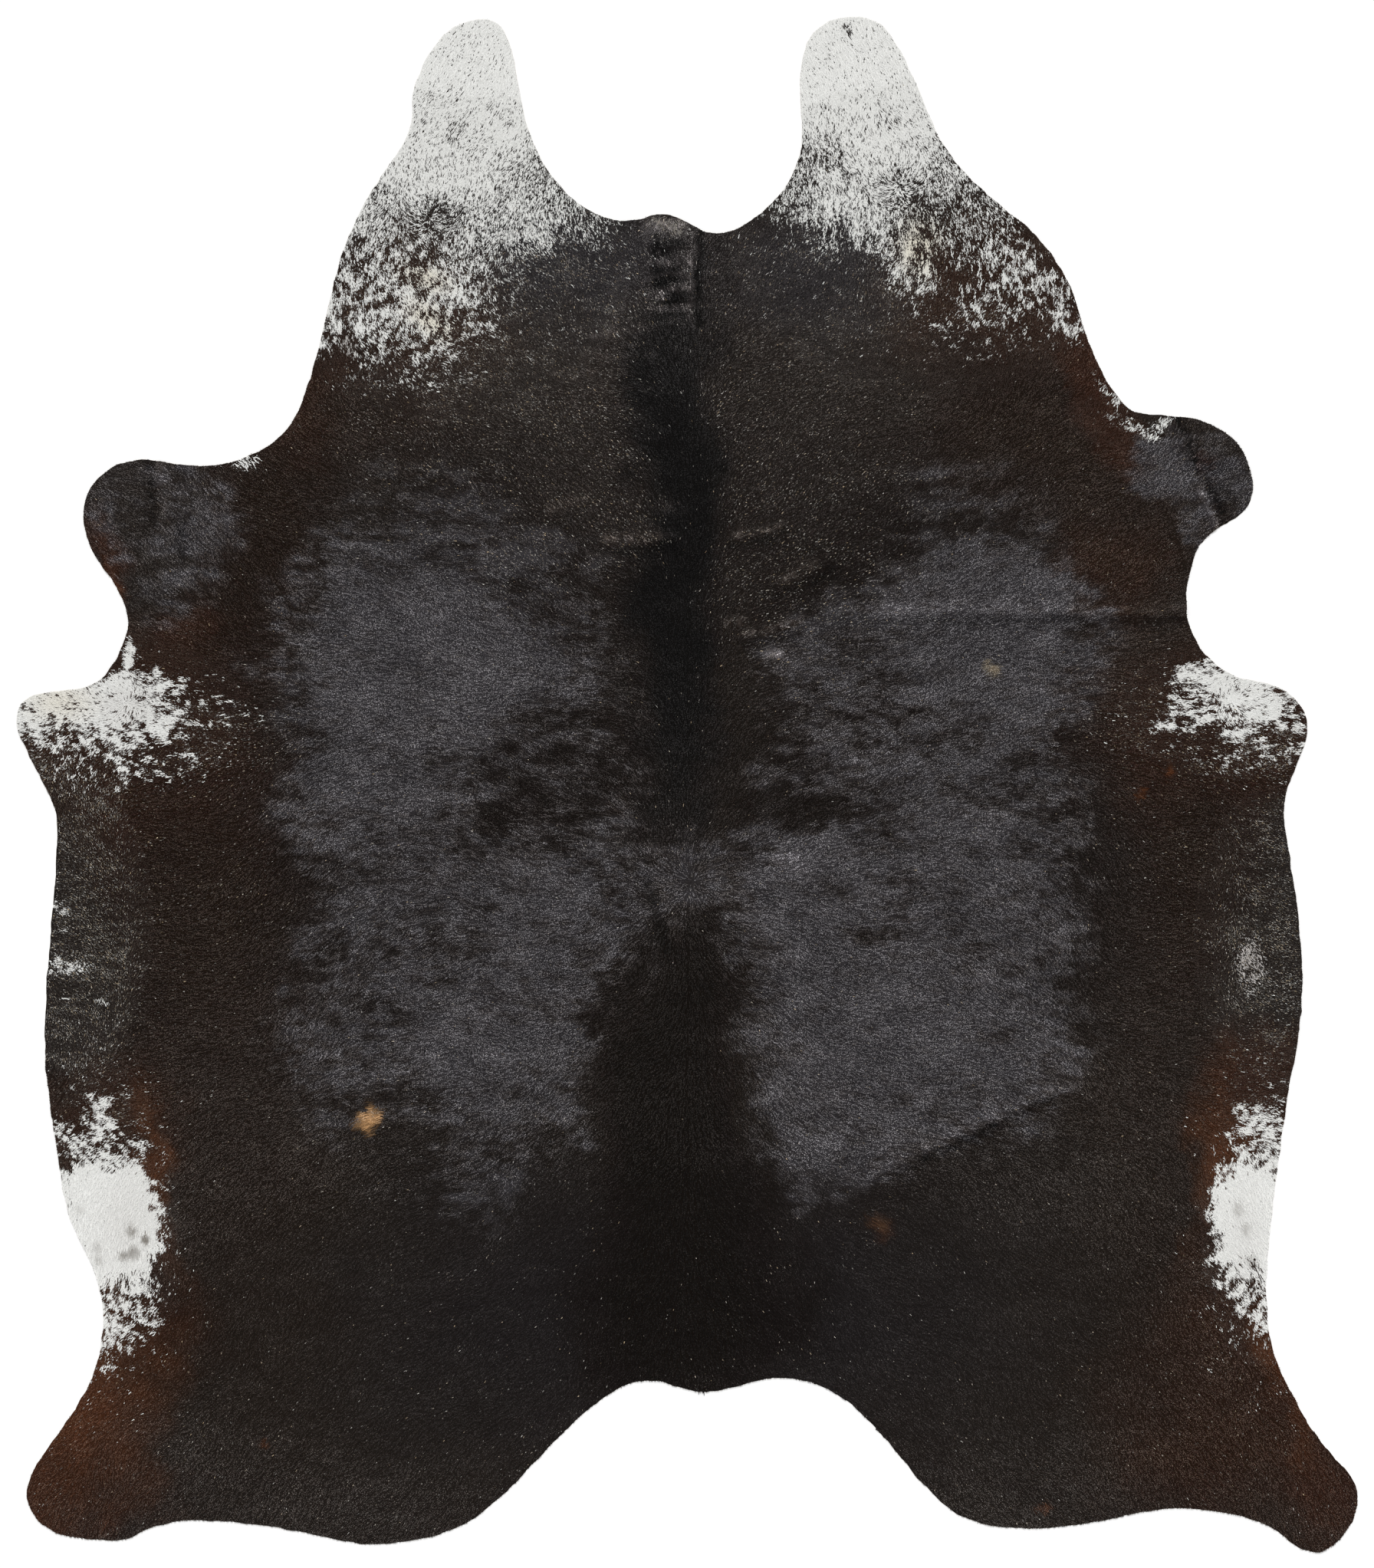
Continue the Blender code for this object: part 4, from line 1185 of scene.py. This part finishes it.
class Locks:
    """The locks of one piece of coat: where each lies, its width and heights, and its hair.

    Each step draws its random numbers in turn, so the steps keep this order.
    """

    def __init__(self, roots, small, settings, random):
        self.roots, self.small, self.settings, self.random = roots, small, settings, random
        self.count = len(roots)
        self.lay()
        self.widen()
        self.choose_hair()
        self.shorten()

    def reached(self, share):
        """The points that lie that share of a lock's length from its root."""
        return self.roots + self.way * (share * self.length)[:, None]

    def lay(self):
        """The direction of each lock, and its length.

        A lock runs along the growth of the coat, a little askew, and stops where it would reach
        further past the edge than the coat overhangs there.
        """
        settings, random, count = self.settings, self.random, self.count
        places = in_picture(self.roots)
        self.turn = growth(places) + settings.askew * random.standard_normal(count)
        angle = np.radians(self.turn)
        self.way = np.column_stack((np.sin(angle), -np.cos(angle)))
        length = settings.hair_length * painted(places, LENGTHS, 1.0)
        length = length * np.where(self.small, settings.close_size, 1)
        self.length = length * varied(random, count, *LENGTH_VARIES)
        at_root, at_tip = HIDE.inset(self.roots), HIDE.inset(self.reached(1))
        overhang = painted(places, OVERHANGS, OVERHANG_ELSEWHERE) * MM
        overhang = overhang * random.uniform(*OVERHANG_VARIES, count)
        inside = (at_root + overhang) / np.maximum(at_root - at_tip, TINY)
        self.length = self.length * np.clip(np.where(at_tip < -overhang, inside, 1), SHORTEST, 1)

    def widen(self):
        """The width of each lock, its roll, and the heights of its root and its tip."""
        settings, random, count = self.settings, self.random, self.count
        width = settings.hair_width * varied(random, count, *WIDTH_VARIES)
        self.width = width * np.where(self.small, (1 + settings.close_size) / 2, 1)
        self.roll = settings.roll * np.clip(random.standard_normal(count), -MOST_ROLL, MOST_ROLL)
        ground = random.uniform(0, LAYERS, count) * MM
        above = random.uniform(0, TIP_LAYERS, count) * MM
        self.root_height = HIDE.rise(self.roots) + settings.root_height + ground
        self.tip_height = HIDE.rise(self.reached(1)) + settings.tip_height + ground + above

    def choose_hair(self):
        """What the coat says of each lock at its middle, and whether it is a fleck or a speck."""
        self.middle = self.reached(MIDDLE)
        places = in_picture(self.middle)
        luck = self.random.standard_normal(self.count)
        self.dark, self.glints, self.light, self.share, self.white, flecks = coat_at(places, self.turn, luck)
        self.flecked = self.random.uniform(size=self.count) < flecks
        self.grit = painted(places, GRIT, 1.0)

    def shorten(self):
        """Flecks, specks and lone locks made short and thin, and the flecks laid on top."""
        speck = self.white & self.flecked
        lone = (self.white & (self.share < LONE_WHITE)) | (~self.white & (self.share > LONE_DARK))
        short = self.random.uniform(*SHORT_VARIES, self.count)
        short = short / np.where(self.small, self.settings.close_size, 1)
        short = short * np.where(lone, LONE_LENGTH, np.where(speck, SPECK_LENGTH, 1))
        self.tips = self.reached(np.where(self.flecked | lone, short, 1))
        thin = np.where(speck | lone, LONE_WIDTH, np.where(self.flecked, FLECK_WIDTH, 1))
        self.width = self.width * thin
        self.root_height = self.root_height + np.where(self.flecked, FLECK_ROOT, 0) * MM
        self.tip_height = self.tip_height + np.where(self.flecked, FLECK_TIP, 0) * MM

    def strips(self):
        """The four corners of each lock's strip, which leans with the folds and rolls a little."""
        across = np.column_stack((-self.way[:, 1], self.way[:, 0]))
        slope = HIDE.rise(self.middle + across * MM) - HIDE.rise(self.middle - across * MM)
        turned = np.tan(np.radians(self.roll)) * np.where(self.white, self.settings.white_roll, 1)
        slope = slope / (2 * MM) + turned
        tip = self.settings.tip_share / 2
        root_end, tip_end = (self.roots, self.root_height), (self.tips, self.tip_height)
        corners = ((*root_end, -0.5), (*root_end, 0.5), (*tip_end, tip), (*tip_end, -tip))
        points = np.zeros((self.count, 4, 3))
        for corner, (place, height, part) in enumerate(corners):
            points[:, corner, :2] = place + across * (self.width * part)[:, None]
            points[:, corner, 2] = height + self.width * part * slope
        return points.reshape(-1, 3)

    def colours(self):
        """The colour of each lock, and the strength of its painted glints, which only plain dark locks have.
        """
        settings, random, count = self.settings, self.random, self.count
        white, flecked = self.white[:, None], self.flecked[:, None]
        dark = np.maximum(self.dark - settings.shine, DARKEST * self.dark)
        dark = dark * np.exp(settings.grain * self.grit * random.standard_normal(count))[:, None]
        low, high = (math.log(brightness) for brightness in FAINT_VARIES)
        faint = np.exp(random.uniform(low, high, count))[:, None]
        light = self.light * varied(random, count, *WHITE_VARIES)[:, None]
        pale, straw = to_light(HAIR_COLOURS["pale"]), to_light(HAIR_COLOURS["straw"])
        pale = pale + (straw - pale) * random.uniform(size=count)[:, None] ** STRAW_POWER
        fleck = np.where(white, SPECK_DARK * dark + SPECK_LIGHT * light * faint, pale * faint)
        colour = np.where(flecked, fleck, np.where(white, light, dark))
        glints = self.glints * np.exp(GRIT_GAIN * (1 - self.grit**2))[:, None]
        return colour, np.where(white | flecked, 0, glints)

    def grain_map(self):
        """Each lock's strip at a place of its own on the map of grain."""
        shift = self.random.uniform(0, GRAIN_MAP_LENGTH, self.count)
        strip = np.array(LOCK_CORNERS) * LOCK_MAP
        spots = np.column_stack((shift, np.zeros(self.count)))[:, None] + strip[None]
        return spots.reshape(-1, 2)

    def baked_map(self):
        """A cell of its own on the baked map for each lock: rows down the hide, columns across it."""
        cells = math.ceil(math.sqrt(self.count))
        row, column = np.zeros((2, self.count), int)
        row[np.argsort(-self.roots[:, 1])] = np.arange(self.count) // cells
        column[np.lexsort((self.roots[:, 0], row))] = np.arange(self.count) % cells
        spots = np.column_stack((column, row))[:, None] + np.array(CELL_CORNERS)[None]
        return (spots / cells).reshape(-1, 2)


def make_locks(name, locks, material):
    """One piece of coat: a tapered strip of two triangles for each lock, from its root to its tip."""
    first = np.arange(locks.count)[:, None] * 4
    corners = np.concatenate((first + (0, 1, 2), first + (0, 2, 3)), 1).ravel()
    piece = mesh_piece(name, locks.strips(), corners, np.full(locks.count * 2, 3), (material,))
    colour, glints = locks.colours()
    give_colour(piece, "hair_colour", np.repeat(colour, 4, 0))
    # The painted glints, which the coat's material adds to each lock's colour.
    give_colour(piece, "glints", np.repeat(glints, 4, 0))
    give_number(piece, "grit", np.repeat(locks.grit, 4))
    give_map(piece, "OFBake", locks.baked_map())
    give_map(piece, "lock", locks.grain_map())
    return piece


def coat_roots(settings, random):
    """The roots of the locks: lattices of triangles inside the outline, each point shaken a little.

    A finer lattice takes the place of the usual one where the locks are small. Gives the roots, and
    for each whether its lock is small.
    """
    groups = []
    for small, pitch in ((False, settings.lock_pitch), (True, settings.close_pitch)):

        def inside(points, row, column):
            close = painted(in_picture(points), CLOSE, 0.0) > 0.5
            return (HIDE.inset(points) > settings.root_inset) & (close == small)

        roots = lattice(pitch, inside)
        groups.append(roots + random.uniform(-0.5, 0.5, roots.shape) * pitch)
    return np.vstack(groups), np.repeat((False, True), [len(group) for group in groups])


# --- The studio.

FLOOR_REACH = 40.0  # metres from the middle of the floor to its sides
FLOOR_ROUGHNESS = 0.9
RUG_HEIGHT = 3 * MM  # of the hair, on which the camera is set
FAR_END = 1000  # metres as far as the camera sees


def lay_floor(settings):
    """A wide, plain, dull floor just under the rug."""
    corners = np.array(((-1, -1), (1, -1), (1, 1), (-1, 1))) * FLOOR_REACH
    points = np.column_stack((corners, np.full(4, -settings.floor_gap)))
    nodes = Nodes("studio floor")
    material = nodes.finish(plain_light(settings.floor_colour), FLOOR_ROUGHNESS, 0.0)
    return mesh_piece("studio_floor", points, np.arange(4), np.array([4]), (material,))


def light_studio(scene, settings):
    """Even white light from all round, and a soft lamp that shines from the neck end."""
    world = bpy.data.worlds.new("studio light")
    world.use_nodes = True
    background = world.node_tree.nodes["Background"]
    background.inputs["Color"].default_value = (1, 1, 1, 1)
    background.inputs["Strength"].default_value = settings.sky
    scene.world = world
    lamp = bpy.data.lights.new("softbox", "SUN")
    lamp.energy = settings.sun
    lamp.angle = settings.sun_angle
    sun = bpy.data.objects.new("softbox", lamp)
    sun.rotation_euler = (settings.sun_height - math.pi / 2, 0, 0)
    scene.collection.objects.link(sun)


def hang_camera(scene, settings):
    """A camera straight above, at the height from which the picture is as long as the photograph."""
    lens = bpy.data.cameras.new("overhead camera")
    lens.lens = settings.lens
    lens.clip_end = FAR_END
    camera = bpy.data.objects.new("overhead camera", lens)
    middle = on_hide(PICTURE_WIDTH / 2, PICTURE_HEIGHT / 2)
    height = PICTURE_HEIGHT * PIXEL * settings.lens / lens.sensor_width
    camera.location = (middle[0], middle[1], height + RUG_HEIGHT)
    scene.collection.objects.link(camera)
    scene.camera = camera
    scene.view_settings.view_transform = "Standard"


# --- The settings, the operators and the panel.


def number_of(name, about, default, **more):
    """A setting that is a plain number."""
    return FloatProperty(name=name, description=about, default=default, **more)


def length_of(name, about, default):
    """A setting in metres."""
    return number_of(name, about, default, unit="LENGTH")


def share_of(name, about, default):
    """A setting that is a share of something."""
    return number_of(name, about, default, subtype="FACTOR")


def angle_of(name, about, degrees):
    """A setting that is an angle."""
    return number_of(name, about, math.radians(degrees), subtype="ANGLE")


def colour_of(name, about, default):
    """A setting that is a colour, as the display shows it."""
    return FloatVectorProperty(
        name=name, description=about, size=3, default=default, subtype="COLOR_GAMMA"
    )


class HideSettings(bpy.types.PropertyGroup):
    """Sizes and colours of the hide."""

    skin_pitch: length_of("Skin pitch", "Distance between the points of the skin", 0.0125)
    flesh_pitch: length_of("Flesh side pitch", "Distance between points on the flesh side's folds", 0.009)
    lock_pitch: length_of("Lock pitch", "Distance between the roots of the locks", 0.00358)
    close_pitch: length_of("Close pitch", "Distance between the roots of small locks", 0.00198)
    close_size: share_of("Small lock", "Length of a small lock beside the usual", 0.5)
    hair_length: length_of("Hair length", "Usual length of a lock", 0.0105)
    hair_width: length_of("Lock width", "Usual width of a lock at its root", 0.0018)
    tip_share: share_of("Tip share", "Width of a lock's tip beside its root", 0.35)
    root_height: length_of("Root height", "Height of the roots above the floor", 0.0015)
    tip_height: length_of("Tip height", "Height of the tips above the floor", 0.0026)
    root_inset: length_of("Root inset", "Distance of the first roots from the edge", 0.0011)
    askew: number_of("Askew", "How far a lock turns from the growth of the coat, in degrees", 13.0)
    roll: number_of("Roll", "How far a lock rolls about its length, in degrees", 14.0)
    white_roll: number_of("White roll", "Roll of a white lock beside a dark one", 0.45)
    grain: number_of("Grain", "How much the dark locks differ in brightness", 0.25)
    # The glints are highlights painted into the locks' colour.
    glint: number_of("Glint", "Strength of the usual glint on the sheen", 0.0178)
    glint_contrast: number_of("Glint contrast", "How much brighter the few bright glints are", 27.0)
    shine: number_of("Shine", "Light that the hair's gloss adds, taken off its colour", 0.004)
    # Painted shade: the locks darker at their roots, and the undercoat darker under the locks.
    root_shade: share_of("Root shade", "Brightness of a lock at its root", 0.86)
    undercoat_shade: share_of("Undercoat shade", "Brightness of the hair under the locks", 0.75)
    gloss: share_of("Gloss", "Strength of the hair's shine", 0.035)
    suede_colour: colour_of("Suede", "Colour of the flesh side and the cut edge", (0.72, 0.66, 0.58))
    seed: IntProperty(name="Seed", description="Number that the shaken locks start from", default=7)


class StudioSettings(bpy.types.PropertyGroup):
    """The floor, the lights and the camera."""

    floor_colour: colour_of("Floor", "Colour of the floor", (0.98, 0.98, 0.98))
    floor_gap: length_of("Floor gap", "How far the floor lies under the rug", 0.0002)
    sky: number_of("Sky", "Strength of the light from all round", 0.62)
    sun: number_of("Sun", "Strength of the main lamp", 1.9)
    sun_angle: angle_of("Lamp softness", "Width of the main lamp in the sky", 35)
    sun_height: angle_of("Lamp height", "Height of the main lamp above the floor", 55)
    lens: number_of("Lens", "Focal length in millimetres", 110.0)


class COWHIDE_OT_skin(bpy.types.Operator):
    """Lay the skin: one closed sheet with a hair side, a cut edge and a flesh side"""

    bl_idname = "cowhide.skin"
    bl_label = "Lay the skin"

    def execute(self, context):
        skin = make_skin(context.scene.cowhide)
        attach(skin, BODY)
        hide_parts(NODE)
        return {"FINISHED"}


class COWHIDE_OT_coat(bpy.types.Operator):
    """Comb the coat: locks of hair over the whole hair side, in five pieces from neck to rump"""

    bl_idname = "cowhide.coat"
    bl_label = "Comb the coat"

    def execute(self, context):
        settings = context.scene.cowhide
        random = np.random.default_rng(settings.seed)
        material = lock_material(settings)
        roots, small = coat_roots(settings, random)
        order = np.argsort(-roots[:, 1])
        for name, part in zip(REGIONS, np.array_split(order, len(REGIONS))):
            locks = Locks(roots[part], small[part], settings, random)
            piece = make_locks(name, locks, material)
            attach(piece, BODY)
        return {"FINISHED"}


class COWHIDE_OT_studio(bpy.types.Operator):
    """Set up the studio: a pale floor, a soft lamp, light from all round and the camera overhead"""

    bl_idname = "cowhide.studio"
    bl_label = "Set up the studio"

    def execute(self, context):
        settings = context.scene.cowhide_studio
        lay_floor(settings)
        light_studio(context.scene, settings)
        hang_camera(context.scene, settings)
        return {"FINISHED"}


class COWHIDE_PT_panel(bpy.types.Panel):
    """The rug's tools and settings"""

    bl_label = "Cowhide Rug"
    bl_idname = "COWHIDE_PT_panel"
    bl_space_type = "VIEW_3D"
    bl_region_type = "UI"
    bl_category = "Cowhide"

    def draw(self, context):
        for operator in OPERATORS:
            self.layout.operator(operator.bl_idname)
        for group in (context.scene.cowhide, context.scene.cowhide_studio):
            box = self.layout.box()
            for name in group.bl_rna.properties.keys():
                if name not in {"rna_type", "name"}:
                    box.prop(group, name)


OPERATORS = (COWHIDE_OT_skin, COWHIDE_OT_coat, COWHIDE_OT_studio)
CLASSES = (HideSettings, StudioSettings) + OPERATORS + (COWHIDE_PT_panel,)


def register():
    """Makes the classes known, and gives the scene its settings."""
    for part in CLASSES:
        bpy.utils.register_class(part)
    bpy.types.Scene.cowhide = PointerProperty(type=HideSettings)
    bpy.types.Scene.cowhide_studio = PointerProperty(type=StudioSettings)


def unregister():
    """Takes back all that register does."""
    del bpy.types.Scene.cowhide_studio
    del bpy.types.Scene.cowhide
    for part in reversed(CLASSES):
        bpy.utils.unregister_class(part)


def main():
    """Registers the classes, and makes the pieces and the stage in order."""
    register()
    bpy.ops.cowhide.skin()
    bpy.ops.cowhide.coat()
    bpy.ops.cowhide.studio()


if __name__ == "__main__":
    main()
